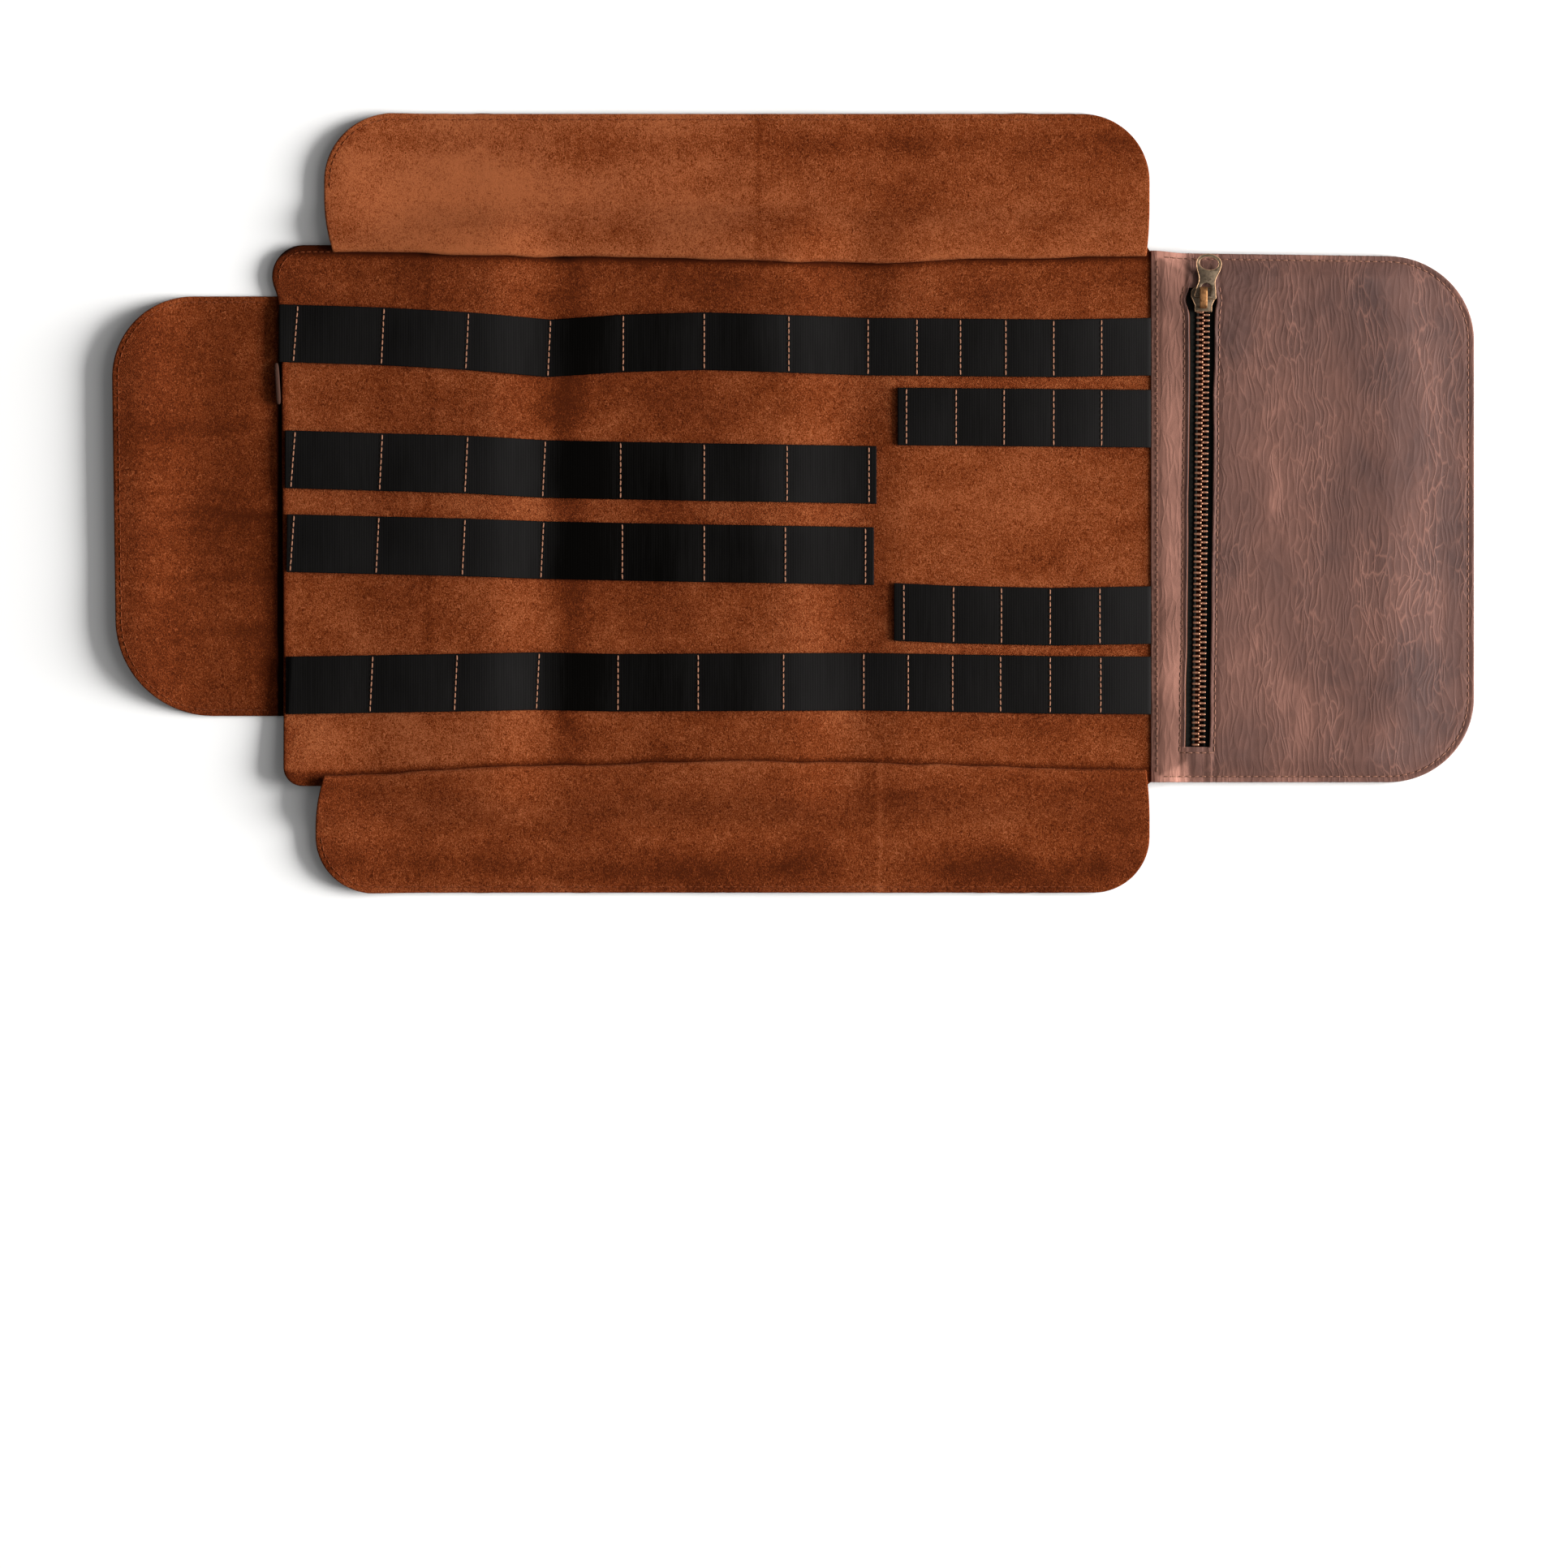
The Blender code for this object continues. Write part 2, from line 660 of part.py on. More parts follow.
def slot_x(y, side):
    """X of the zip slot's left (-1) or right (+1) edge."""
    return ZIP_ORIGIN.x + math.tan(SLOT_SLANT) * (y - ZIP_ORIGIN.y) + side * SLOT_WIDTH / 2


def make_pocket_front(shop):
    """Upper wall of the pocket, with the slot that the zip shows through."""
    slot_low = ZIP_ORIGIN.y - SLOT_LENGTH / 2
    slot_high = ZIP_ORIGIN.y + SLOT_LENGTH / 2
    rises = [POCKET_RISE * share for share in (0.0, 0.2, 0.45, 0.72, 1.0)]
    rows = pocket_rows()
    rows += [POCKET_BOTTOM_Y + rise for rise in rises[1:]]
    rows += [POCKET_TOP_Y - rise for rise in rises[1:]]
    rows = [row for row in thin_out(rows, LEATHER) if abs(row - slot_low) > LEATHER]
    rows = [row for row in rows if abs(row - slot_high) > LEATHER]
    rows = sorted(rows + [slot_low, slot_high])
    left_run = SLOT_SETBACK - SLOT_WIDTH / 2
    right_run = POCKET_LENGTH - SLOT_SETBACK - SLOT_WIDTH / 2
    columns = [rise / left_run for rise in rises]
    columns += [1.0, 2.0, 2.35, 2.7]
    columns += [3.0 - rise / right_run for rise in reversed(rises)]
    columns = thin_out(columns, 0.01)

    def place(stage, y):
        if stage <= 1.0:
            x = mix(SPINE_X, slot_x(y, -1), stage)
        elif stage <= 2.0:
            x = mix(slot_x(y, -1), slot_x(y, 1), stage - 1.0)
        else:
            x = mix(slot_x(y, 1), pocket_right_x(y), stage - 2.0)
        return (x, pocket_y(x, y), pocket_front_z(x, y))

    def is_slot(stage, y):
        return 0.99 < stage < 1.99 and slot_low - GAP < y < slot_high - GAP

    shop.sheet("pocket_front", columns, rows, place, LEATHER, GRAIN_LEATHER, is_slot)


def make_tapes(shop):
    """The two woven tapes under the slot, each ending beside its row of teeth."""
    inner = CHAIN_WIDTH / 2 + GAP
    half_length = SLOT_LENGTH / 2 + TAPE_MARGIN
    for name, side in (("zip_tape_left", -1), ("zip_tape_right", 1)):
        near = side * inner
        far = side * (inner + TAPE_WIDTH)
        loop = [(near, -half_length), (far, -half_length), (far, half_length), (near, half_length)]
        tape = shop.outline(name, [loop], TAPE_THICKNESS, TAPE, shop.zip_frame)
        tape.location.z = TAPE_Z


def comb_loop(side, first_tooth, last_y):
    """Outline of one row of teeth on the corded edge that carries them."""
    outer = side * CHAIN_WIDTH / 2
    root = side * (CHAIN_WIDTH / 2 - TOOTH_ROOT)
    tip = -side * TOOTH_OVERLAP
    tooth = TOOTH_PITCH / 2 - GAP
    count = int((last_y - first_tooth - tooth) / TOOTH_PITCH) + 1
    loop = [(outer, first_tooth)]
    for number in range(count):
        low = first_tooth + number * TOOTH_PITCH
        loop += [(root, low), (tip, low), (tip, low + tooth), (root, low + tooth)]
    loop.append((outer, loop[-1][1]))
    return loop


def make_teeth(shop):
    """Two interlocked rows of teeth, which run into the slider's channel."""
    bottom = -SLOT_LENGTH / 2 + GAP
    for name, side, shift in (("zip_teeth_left", -1, 0.0), ("zip_teeth_right", 1, 0.5)):
        loop = comb_loop(side, bottom + shift * TOOTH_PITCH, SLIDER_Y)
        teeth = shop.comb(name, loop, TOOTH_HEIGHT, COPPER, shop.zip_frame)
        teeth.location.z = TAPE_Z


def slider_loop():
    """Outline of a slider plate, wide at the front where the rows of teeth part."""
    front = SLIDER_FRONT_WIDTH / 2
    rear = SLIDER_REAR_WIDTH / 2
    nose = SLIDER_LENGTH / 2
    curve = SLIDER_LENGTH / 4
    shoulder = nose - curve
    loop = [(-rear, -nose), (rear, -nose), (rear, curve - nose), (front, shoulder - curve / 2)]
    loop += arc((front - curve, shoulder), curve, 0, 90, 4)
    loop += arc((-front + curve, shoulder), curve, 90, 180, 4)
    loop += [(-front, shoulder - curve / 2), (-rear, curve - nose)]
    return loop


def make_slider(shop):
    """Slider: two plates on a post, side flanges round the teeth, and the bail on top."""
    half_plate = SLIDER_PLATE / 2
    sink = SLIDER_PLATE / 4

    def layer(name, loop, low, high):
        piece = shop.outline(name, [loop], high - low, parent=shop.zip_frame)
        piece.location = (0.0, SLIDER_Y, (low + high) / 2)
        return shop.meshed(piece)

    roof = TAPE_Z + CHANNEL_HALF
    floor = TAPE_Z - CHANNEL_HALF
    slider = layer("zip_slider", slider_loop(), roof, SLIDER_TOP_Z)
    others = [layer("slider_bottom", slider_loop(), floor - SLIDER_PLATE, floor)]
    post_y = SLIDER_LENGTH / 2 - 2 * SLIDER_POST_RADIUS
    post = arc((0.0, post_y), SLIDER_POST_RADIUS, 0, 330, 11)
    others.append(layer("slider_post", post, floor - half_plate, roof + half_plate))
    back = -SLIDER_LENGTH / 2 + sink
    front = back + SLIDER_LENGTH / 4
    for side, label in ((-1, "left"), (1, "right")):
        outer = side * (SLIDER_REAR_WIDTH / 2 - sink / 4)
        inner = side * (CHAIN_WIDTH / 2 + GAP)
        strip = [(inner, back), (outer, back), (outer, front), (inner, front)]
        others.append(layer("flange_top_" + label, strip, roof - SLIDER_FLANGE, roof + sink))
        others.append(layer("flange_low_" + label, strip, floor - sink, floor + SLIDER_FLANGE))

    bail_top = BAIL_EYE_Z + BAIL_THICKNESS
    foot = SLIDER_TOP_Z - half_plate
    span = BAIL_FRONT + BAIL_REAR
    curve = span / 4
    eye_curve = curve - BAIL_THICKNESS
    eye_rear = -BAIL_REAR + BAIL_THICKNESS
    eye_front = BAIL_FRONT - BAIL_THICKNESS
    loop = [(-BAIL_REAR, foot), (eye_rear, foot)]
    loop += arc((eye_rear + eye_curve, BAIL_EYE_Z - eye_curve), eye_curve, 180, 90, 4)
    loop += arc((eye_front - eye_curve, BAIL_EYE_Z - eye_curve), eye_curve, 90, 0, 4)
    loop += [(eye_front, foot), (BAIL_FRONT, foot)]
    loop += arc((BAIL_FRONT - curve, bail_top - curve), curve, 0, 90, 4)
    loop += arc((-BAIL_REAR + curve, bail_top - curve), curve, 90, 180, 4)
    bail = shop.outline("slider_bail", [loop], BAIL_WIDTH, parent=shop.zip_frame)
    bail.location = (0.0, SLIDER_Y, 0.0)
    bail.rotation_euler = (math.pi / 2, 0.0, math.pi / 2)
    others.append(shop.meshed(bail))
    shop.join(slider, others)
    shop.finish(slider, AGED_BRASS)


def make_puller(shop):
    """Puller: a waisted plate with a round window, whose foot bar lies under the bail."""
    foot = PULLER_FOOT_WIDTH / 2
    waist = PULLER_WAIST_WIDTH / 2
    head = PULLER_HEAD_WIDTH / 2
    bar = PULLER_BAR / 2
    window_y = PULLER_LENGTH - PULLER_HOLE_LENGTH / 2 - PULLER_BAR
    outer = [(-foot + bar, -bar), (foot - bar, -bar), (foot, bar), (foot, 3 * bar)]
    outer += [(waist, PULLER_SLOT_LENGTH), (waist, PULLER_SLOT_LENGTH + 2 * bar)]
    flatten = (PULLER_LENGTH - window_y) / head
    outer += arc((0.0, window_y), head, -20, 200, 14, flatten)
    outer += [(-waist, PULLER_SLOT_LENGTH + 2 * bar), (-waist, PULLER_SLOT_LENGTH)]
    outer += [(-foot, 3 * bar), (-foot, bar)]
    flatten = PULLER_HOLE_LENGTH / PULLER_HOLE_WIDTH
    window = arc((0.0, window_y), PULLER_HOLE_WIDTH / 2, 0, 345, 15, flatten)
    slot = PULLER_SLOT_WIDTH / 2
    arch = [(slot, bar), (slot, PULLER_SLOT_LENGTH - slot / 2)]
    arch += arc((0.0, PULLER_SLOT_LENGTH - slot / 2), slot, 22, 158, 5, 0.5)
    arch += [(-slot, PULLER_SLOT_LENGTH - slot / 2), (-slot, bar)]
    puller = shop.outline("zip_puller", [outer, window, arch], PULLER_THICKNESS, AGED_BRASS, shop.zip_frame)
    puller.location = (0.0, SLIDER_Y + PULLER_AXIS_FORWARD, PULLER_AXIS_Z)
    puller.rotation_euler = (-PULLER_TILT, 0.0, -PULLER_LEAN)


def make_elastic(shop, name, route):
    """A woven band, sewn down at its columns and bowed up between them."""
    levels = [rows[0].across for rows in ELASTIC_ROUTES.values()]
    fall = (max(levels) - route[0].across) / (max(levels) - min(levels))
    stops = [panel_x(route[0].along), panel_x(route[-1].along)]
    for column in STITCH_COLUMNS:
        if name in column.bands:
            stops.append(panel_x(column.along + column.lean * fall))
    stops = thin_out(stops, LEATHER)

    def bow(x):
        for low, high in zip(stops, stops[1:]):
            if low <= x <= high:
                return LOOP_RISE * (high - low) * math.sin(math.pi * (x - low) / (high - low))
        return 0.0

    def place(x, side):
        y = panel_y(follow(route, panel_share(x))) + side * ELASTIC_WIDTH / 2
        return (x, y, panel_top(x) + ELASTIC_GAP + ELASTIC_THICKNESS / 2 + bow(x))

    shop.sheet(name, divide(stops, LOOP_STEPS), [-1.0, 1.0], place, ELASTIC_THICKNESS, ELASTIC)


def make_strap(shop, name, across):
    """A closing strap, lying flat under the panel from the spine to its round end."""
    root = SPINE_X - BACK_LAP - GAP
    half = STRAP_WIDTH / 2
    end = root - STRAP_LENGTH
    loop = [(root, half)] + arc((end + half, 0.0), half, 90, 270, 10) + [(root, -half)]
    strap = shop.outline(name, [loop], LEATHER, STRAP_LEATHER)
    strap.location = (0.0, panel_y(across), LEATHER / 2)


def build():
    """Makes every piece of the roll."""
    shop = Workshop()
    make_panel(shop)
    LongFlap(
        "top_flap", 1, TOP_FLAP_START, TOP_FLAP_REACH, TOP_FLAP_RADIUS, TOP_FOLD_REACH, TOP_FOLD
    ).make(shop)
    LongFlap(
        "bottom_flap", -1, BOTTOM_FLAP_START, BOTTOM_FLAP_REACH, BOTTOM_FLAP_RADIUS,
        BOTTOM_FOLD_REACH, BOTTOM_FOLD
    ).make(shop)
    make_left_flap(shop)
    make_keeper_tab(shop)
    make_pocket_back(shop)
    make_pocket_front(shop)
    make_tapes(shop)
    make_teeth(shop)
    make_slider(shop)
    make_puller(shop)
    for name, route in ELASTIC_ROUTES.items():
        make_elastic(shop, name, route)
    for name, across in STRAP_ACROSS.items():
        make_strap(shop, name, across)


build()
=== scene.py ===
"""Looks of the leather tool roll, opened flat with its suede inside up.

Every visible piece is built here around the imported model: the leather sheets with their ripples,
folds and puckered seams, the elastic loops, the rows of stitching, the zip and the straps. Units
are metres and +Z is up. +X runs from the short flap to the zip pocket, +Y to the top flap.
"""
from __future__ import annotations

import logging
import math
from dataclasses import dataclass, field
from enum import Enum
from typing import NamedTuple, Sequence

import bpy
import numpy as np
from mathutils import Matrix, Vector

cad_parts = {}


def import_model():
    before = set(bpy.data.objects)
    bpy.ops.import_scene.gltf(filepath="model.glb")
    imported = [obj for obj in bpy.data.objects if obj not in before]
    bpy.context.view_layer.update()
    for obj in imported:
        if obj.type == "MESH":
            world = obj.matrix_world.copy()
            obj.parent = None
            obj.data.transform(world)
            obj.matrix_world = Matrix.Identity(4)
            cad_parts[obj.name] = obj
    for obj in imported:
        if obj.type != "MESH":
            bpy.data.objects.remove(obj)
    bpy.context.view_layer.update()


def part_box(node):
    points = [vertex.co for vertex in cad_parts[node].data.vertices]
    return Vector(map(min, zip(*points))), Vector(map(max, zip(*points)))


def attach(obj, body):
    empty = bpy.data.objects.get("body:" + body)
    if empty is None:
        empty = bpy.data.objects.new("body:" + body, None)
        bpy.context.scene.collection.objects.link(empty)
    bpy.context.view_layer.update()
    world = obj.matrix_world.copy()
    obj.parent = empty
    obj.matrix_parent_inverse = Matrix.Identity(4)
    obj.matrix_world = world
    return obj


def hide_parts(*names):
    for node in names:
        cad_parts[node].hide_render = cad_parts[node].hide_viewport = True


LOG = logging.getLogger("tool_roll")
Array = np.ndarray
Colour = tuple[float, float, float]
Solid = tuple[Array, list[list[int]]]
Socket = bpy.types.NodeSocket
Material = bpy.types.Material

MILLIMETRE = 0.001
UP = np.array([0.0, 0.0, 1.0])


class Body(Enum):
    """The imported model's bodies."""

    ROLL = "roll"
    PULLER = "puller"


class Slot(Enum):
    """The record's material slots."""

    SUEDE = "suede"
    POCKET = "pocket_leather"
    STRAP = "strap_leather"
    ELASTIC = "elastic"
    TAPE = "zip_tape"
    TEETH = "zip_metal"
    SLIDER = "slider_metal"


class Held(Enum):
    """How a sheet lies, in the words that the frame knows."""

    LAID = "laid"
    FOLDED = "folded"
    STRETCHED = "stretched"


# Numbers and patterns

def smooth(share: Array) -> Array:
    """Share from 0 to 1 that leaves and arrives level: 3 s squared minus 2 s cubed.

    Args:
        share: Any values; those past 0 or 1 are held there.

    Returns:
        The eased values.
    """
    held = np.clip(share, 0.0, 1.0)
    return held * held * (3.0 - 2.0 * held)


def follow(rows: Sequence[tuple[float, float]], place: Array) -> Array:
    """Second column of a table at places in its first, eased from row to row.

    Args:
        rows: Pairs sorted by their first value.
        place: Where the table is read.

    Returns:
        One value for each place.
    """
    table = np.array([tuple(row)[:2] for row in rows])
    knots, values = table[:, 0], table[:, 1]
    low = np.clip(np.searchsorted(knots, place, side="right") - 1, 0, len(knots) - 2)
    share = (place - knots[low]) / (knots[low + 1] - knots[low])
    return values[low] + (values[low + 1] - values[low]) * smooth(share)


def hill(place: Array, centre: Array | float, width: float) -> Array:
    """Bell of height 1: e to the power of minus the squared distance over the squared width."""
    return np.exp(-(((place - centre) / width) ** 2))


def chance(column: Array, row: Array, seed: float) -> Array:
    """Fixed number from 0 to 1 for each lattice point: the broken part of a large sine."""
    value = np.sin(column * 127.1 + row * 311.7 + seed * 74.7) * 43758.5453
    return value - np.floor(value)


def noise(x: Array, y: Array, seed: float = 0.0) -> Array:
    """Smooth noise from -1 to 1: chance at the four lattice corners, eased between them.

    Args:
        x: First coordinate, in cells.
        y: Second coordinate, in cells.
        seed: Which pattern.

    Returns:
        One value for each point.
    """
    column, row = np.floor(x), np.floor(y)
    across, along = smooth(x - column), smooth(y - row)
    low = chance(column, row, seed) * (1 - across) + chance(column + 1, row, seed) * across
    high = chance(column, row + 1, seed) * (1 - across) + chance(column + 1, row + 1, seed) * across
    return 2.0 * (low * (1 - along) + high * along) - 1.0


def layered(x: Array, y: Array, seed: float = 0.0, layers: int = 3) -> Array:
    """Sum of noises, each half as wide and half as strong as the last."""
    total = np.zeros(np.broadcast(x, y).shape)
    for layer in range(layers):
        total = total + noise(x * 2 ** layer, y * 2 ** layer, seed + 11.0 * layer) / 2 ** layer
    return total / (2.0 - 0.5 ** (layers - 1))


def ridges(x: Array, y: Array, seed: float = 0.0) -> Array:
    """Thin ridge lines from 0 to 1: one minus the size of a layered noise, to the sixth power."""
    return (1.0 - np.abs(layered(x, y, seed, 2))) ** 6


def corner_inset(depth: Array, radius: float) -> Array:
    """How far a round corner draws the side in, at a depth from the edge."""
    inside = np.clip(radius - depth, 0.0, radius)
    return radius - np.sqrt(radius ** 2 - inside ** 2)


def corner_depths(radius: float, steps: int = 22) -> Array:
    """Depths at which a round corner is followed: the radius times one minus the cosine."""
    return radius * (1.0 - np.cos(np.linspace(0.0, math.pi / 2, steps + 1)))


def thinned(values: Array, least: float) -> Array:
    """Sorted values without those that crowd the one before them, both ends kept."""
    ordered = np.sort(values)
    kept = [ordered[0]]
    for value in ordered[1:-1]:
        if value - kept[-1] > least and ordered[-1] - value > least:
            kept.append(value)
    return np.array(kept + [ordered[-1]])


EDGE_DEPTHS = np.array([0.0, 0.00013, 0.00035, 0.0007, 0.0012])


def edged_range(low: float, high: float, spacing: float, radii: tuple[float, float]) -> Array:
    """Lines across a sheet: even ones, close ones at the cut edges, and those of its corners.

    Args:
        low: First edge.
        high: Last edge.
        spacing: Distance between the even lines.
        radii: Corner radius at the first and at the last edge.

    Returns:
        Sorted places of the lines.
    """
    even = np.linspace(low, high, max(int((high - low) / spacing), 2) + 1)
    near_low = np.concatenate([low + EDGE_DEPTHS, low + corner_depths(radii[0])])
    near_high = np.concatenate([high - EDGE_DEPTHS, high - corner_depths(radii[1])])
    return thinned(np.concatenate([even, near_low, near_high]), 0.00012)


def inside_distance(x: Array, y: Array, box: tuple[float, float, float, float],
                    radii: tuple[float, float, float, float]) -> Array:
    """Distance from points inside a rectangle with round corners to its outline.

    Near a corner it is the radius minus the distance to the corner's centre, and elsewhere the
    distance to the nearest side.

    Args:
        x: Points' X.
        y: Points' Y.
        box: Left, right, low and high side.
        radii: Corner radius at low left, low right, high left and high right.

    Returns:
        Distance of each point, not below zero.
    """
    left, right, low, high = box
    sides = np.minimum(np.minimum(x - left, right - x), np.minimum(y - low, high - y))
    corners = ((left, 1, low, 1), (right, -1, low, 1), (left, 1, high, -1), (right, -1, high, -1))
    for (side_x, turn_x, side_y, turn_y), radius in zip(corners, radii):
        to_x = side_x + turn_x * radius - x
        to_y = side_y + turn_y * radius - y
        within = (to_x * turn_x > 0) & (to_y * turn_y > 0)
        sides = np.where(within, np.minimum(sides, radius - np.hypot(to_x, to_y)), sides)
    return np.maximum(sides, 0.0)


def rolled(distance: Array, radius: float = 0.0006) -> Array:
    """How far a cut edge is rounded off at a distance from it: a quarter circle's drop."""
    return radius - np.sqrt(radius ** 2 - np.clip(radius - distance, 0.0, radius) ** 2)


# Meshes

def grid_quads(rows: int, columns: int, keep: Array | None = None) -> Array:
    """Quads between the points of a grid, anticlockwise where columns run right and rows up.

    Args:
        rows: Number of point rows.
        columns: Number of points in a row.
        keep: Which cells to keep, one truth for each, or all.

    Returns:
        Corner numbers, four in a row.
    """
    first = np.arange(rows - 1)[:, None] * columns + np.arange(columns - 1)[None, :]
    quads = np.stack([first, first + 1, first + columns + 1, first + columns], axis=-1)
    return quads[keep] if keep is not None else quads.reshape(-1, 4)


def ring_quads(rings: int, sides: int) -> Array:
    """Quads between closed rings of points, each ring as many points as it has sides."""
    ring = np.arange(rings - 1)[:, None] * sides
    here, following = np.arange(sides)[None, :], (np.arange(sides)[None, :] + 1) % sides
    quads = np.stack([ring + here, ring + following, ring + sides + following, ring + sides + here], -1)
    return quads.reshape(-1, 4)


def put_mesh(name: str, points: Array, faces: list[list[int]], materials: Sequence[Material],
             indices: Array | None = None, tone: Array | None = None) -> bpy.types.Object:
    """Puts points and faces into a new piece at the origin.

    Args:
        name: The piece's name.
        points: One row of three coordinates for each point.
        faces: Corner numbers of each face, anticlockwise from outside.
        materials: The piece's finishes.
        indices: Which finish each face takes, or all the first.
        tone: Lighter or darker colour of each point, from -1 to 1, which the finishes read; it carries
            painted light and shade as well as the colour's own changes.

    Returns:
        The new object.
    """
    mesh = bpy.data.meshes.new(name)
    mesh.from_pydata(points.tolist(), [], faces)
    for material in materials:
        mesh.materials.append(material)
    if indices is not None:
        mesh.polygons.foreach_set("material_index", indices.astype(np.int32))
    mesh.polygons.foreach_set("use_smooth", np.ones(len(faces), dtype=bool))
    if tone is not None:
        attribute = mesh.attributes.new("tone", "FLOAT", "POINT")
        attribute.data.foreach_set("value", tone.astype(np.float32))
    mesh.update()
    piece = bpy.data.objects.new(name, mesh)
    bpy.context.scene.collection.objects.link(piece)
    return piece


def put_wall(name: str, top: Array, bottom: Array, quads: Array, materials: Sequence[Material],
             tone: Array) -> bpy.types.Object:
    """A closed sheet between two surfaces that share one net of quads.

    The open borders of the net, where a side has a quad on one hand only, are walled from the
    upper surface to the lower one. The upper side takes the first material, the lower side the
    second and the cut edge the third.

    Args:
        name: The piece's name.
        top: Points of the upper surface.
        bottom: Points of the lower surface, in the same order.
        quads: The net, anticlockwise seen from above.
        materials: Finish of the upper side, the lower side and the cut edge.
        tone: Light or dark of each point.

    Returns:
        The new object.
    """
    used, net = np.unique(quads, return_inverse=True)
    net = net.reshape(-1, 4)
    count = len(used)
    sides = np.concatenate([net[:, [corner, (corner + 1) % 4]] for corner in range(4)])
    keys = np.sort(sides, axis=1) @ np.array([count, 1])
    _, where, times = np.unique(keys, return_index=True, return_counts=True)
    border = sides[where[times == 1]]
    rim = np.stack([border[:, 1], border[:, 0], border[:, 0] + count, border[:, 1] + count], axis=1)
    faces = np.concatenate([net, net[:, ::-1] + count, rim])
    indices = np.repeat([0, 1, 2], [len(net), len(net), len(rim)])
    points = np.concatenate([top[used], bottom[used]])
    return put_mesh(name, points, faces.tolist(), materials, indices, np.tile(tone[used], 2))


def put_sheet(name: str, x: Array, y: Array, top: Array, bottom: Array, materials: Sequence[Material],
              tone: Array, keep: Array | None = None, shift: Array | float = 0.0) -> bpy.types.Object:
    """A closed sheet between two heights over one grid.

    Args:
        name: The piece's name.
        x: X of the grid's points.
        y: Y of the grid's points.
        top: Height of the upper side at each point.
        bottom: Height of the lower side at each point.
        materials: Finish of the upper side, the lower side and the cut edge.
        tone: Light or dark of each point.
        keep: Which cells to keep, or all.
        shift: How far the lower side is moved along X.

    Returns:
        The new object.
    """
    upper = np.stack([x, y, top], axis=-1).reshape(-1, 3)
    lower = np.stack([x + shift, y, bottom], axis=-1).reshape(-1, 3)
    return put_wall(name, upper, lower, grid_quads(*x.shape, keep), materials, tone.ravel())


def upright(x: float, y: Array) -> Array:
    """Flat points one above another, at one X."""
    return np.stack([np.full_like(y, x), y], -1)


def level(x: Array, y: float) -> Array:
    """Flat points side by side, at one Y."""
    return np.stack([x, np.full_like(x, y)], -1)


def heights_at(flat: Array, x: Array, y: Array, height: Array) -> Array:
    """Height at flat points, taken from the nearest point of a grid."""
    nearest = [int(np.argmin((x - spot[0]) ** 2 + (y - spot[1]) ** 2)) for spot in flat]
    return height.ravel()[nearest]


def unit(vectors: Array) -> Array:
    """The vectors, each made one long."""
    return vectors / np.maximum(np.linalg.norm(vectors, axis=-1, keepdims=True), 1e-12)


@dataclass(frozen=True)
class Placing:
    """Where copies of a small shape stand: a middle and three directions for each."""

    middles: Array
    along: Array
    up: Array

    def put(self, name: str, shape: Array, faces: list[list[int]],
            material: Material) -> bpy.types.Object:
        """Joins all the copies into one piece.

        Each copy's points are its middle plus the shape's three coordinates times its directions
        along, across and up.

        Args:
            name: The piece's name.
            shape: Points of the small shape, along, across and up.
            faces: Its faces.
            material: Its finish.

        Returns:
            The joined piece.
        """
        along = unit(self.along)
        across = unit(np.cross(self.up, along))
        axes = np.stack([along, across, np.cross(along, across)], axis=1)
        points = self.middles[:, None, :] + shape[None, :, :] @ axes
        copies = len(self.middles)
        joined = []
        for width in sorted({len(face) for face in faces}):
            some = np.array([face for face in faces if len(face) == width])
            joined += (some[None] + np.arange(copies)[:, None, None] * len(shape)).reshape(-1, width).tolist()
        return put_mesh(name, points.reshape(-1, 3), joined, [material])


def lump(length: float, width: float, height: float, rings: int, sides: int,
         squareness: float = 1.0) -> Solid:
    """A closed rounded lump: rings of a bulging outline between two poles.

    The outline's half width follows the sine of the angle from pole to pole, and cross-sections
    are ellipses, both raised to the power of squareness, which below 1 makes them boxy.

    Args:
        length: From pole to pole.
        width: Across.
        height: Upwards.
        rings: Rings between the poles.
        sides: Points in a ring.
        squareness: 1 for an egg, towards 0 for a box.

    Returns:
        Points and faces.
    """
    polar = np.linspace(0.0, math.pi, rings + 2)[1:-1][:, None]
    turn = np.linspace(0.0, 2 * math.pi, sides, endpoint=False)[None, :]

    def boxy(value: Array) -> Array:
        return np.sign(value) * np.abs(value) ** squareness

    x = -boxy(np.cos(polar)) * np.ones_like(turn) * length / 2
    y = boxy(np.sin(polar)) * boxy(np.cos(turn)) * width / 2
    z = boxy(np.sin(polar)) * boxy(np.sin(turn)) * height / 2
    rings_points = np.stack([x, y, z], axis=-1).reshape(-1, 3)
    points = np.concatenate([rings_points, [[-length / 2, 0, 0], [length / 2, 0, 0]]])
    faces = ring_quads(rings, sides)[:, ::-1].tolist()
    first, last = rings * sides, rings * sides + 1
    end = (rings - 1) * sides
    for side in range(sides):
        beside = (side + 1) % sides
        faces.append([first, side, beside])
        faces.append([last, end + beside, end + side])
    return points, faces


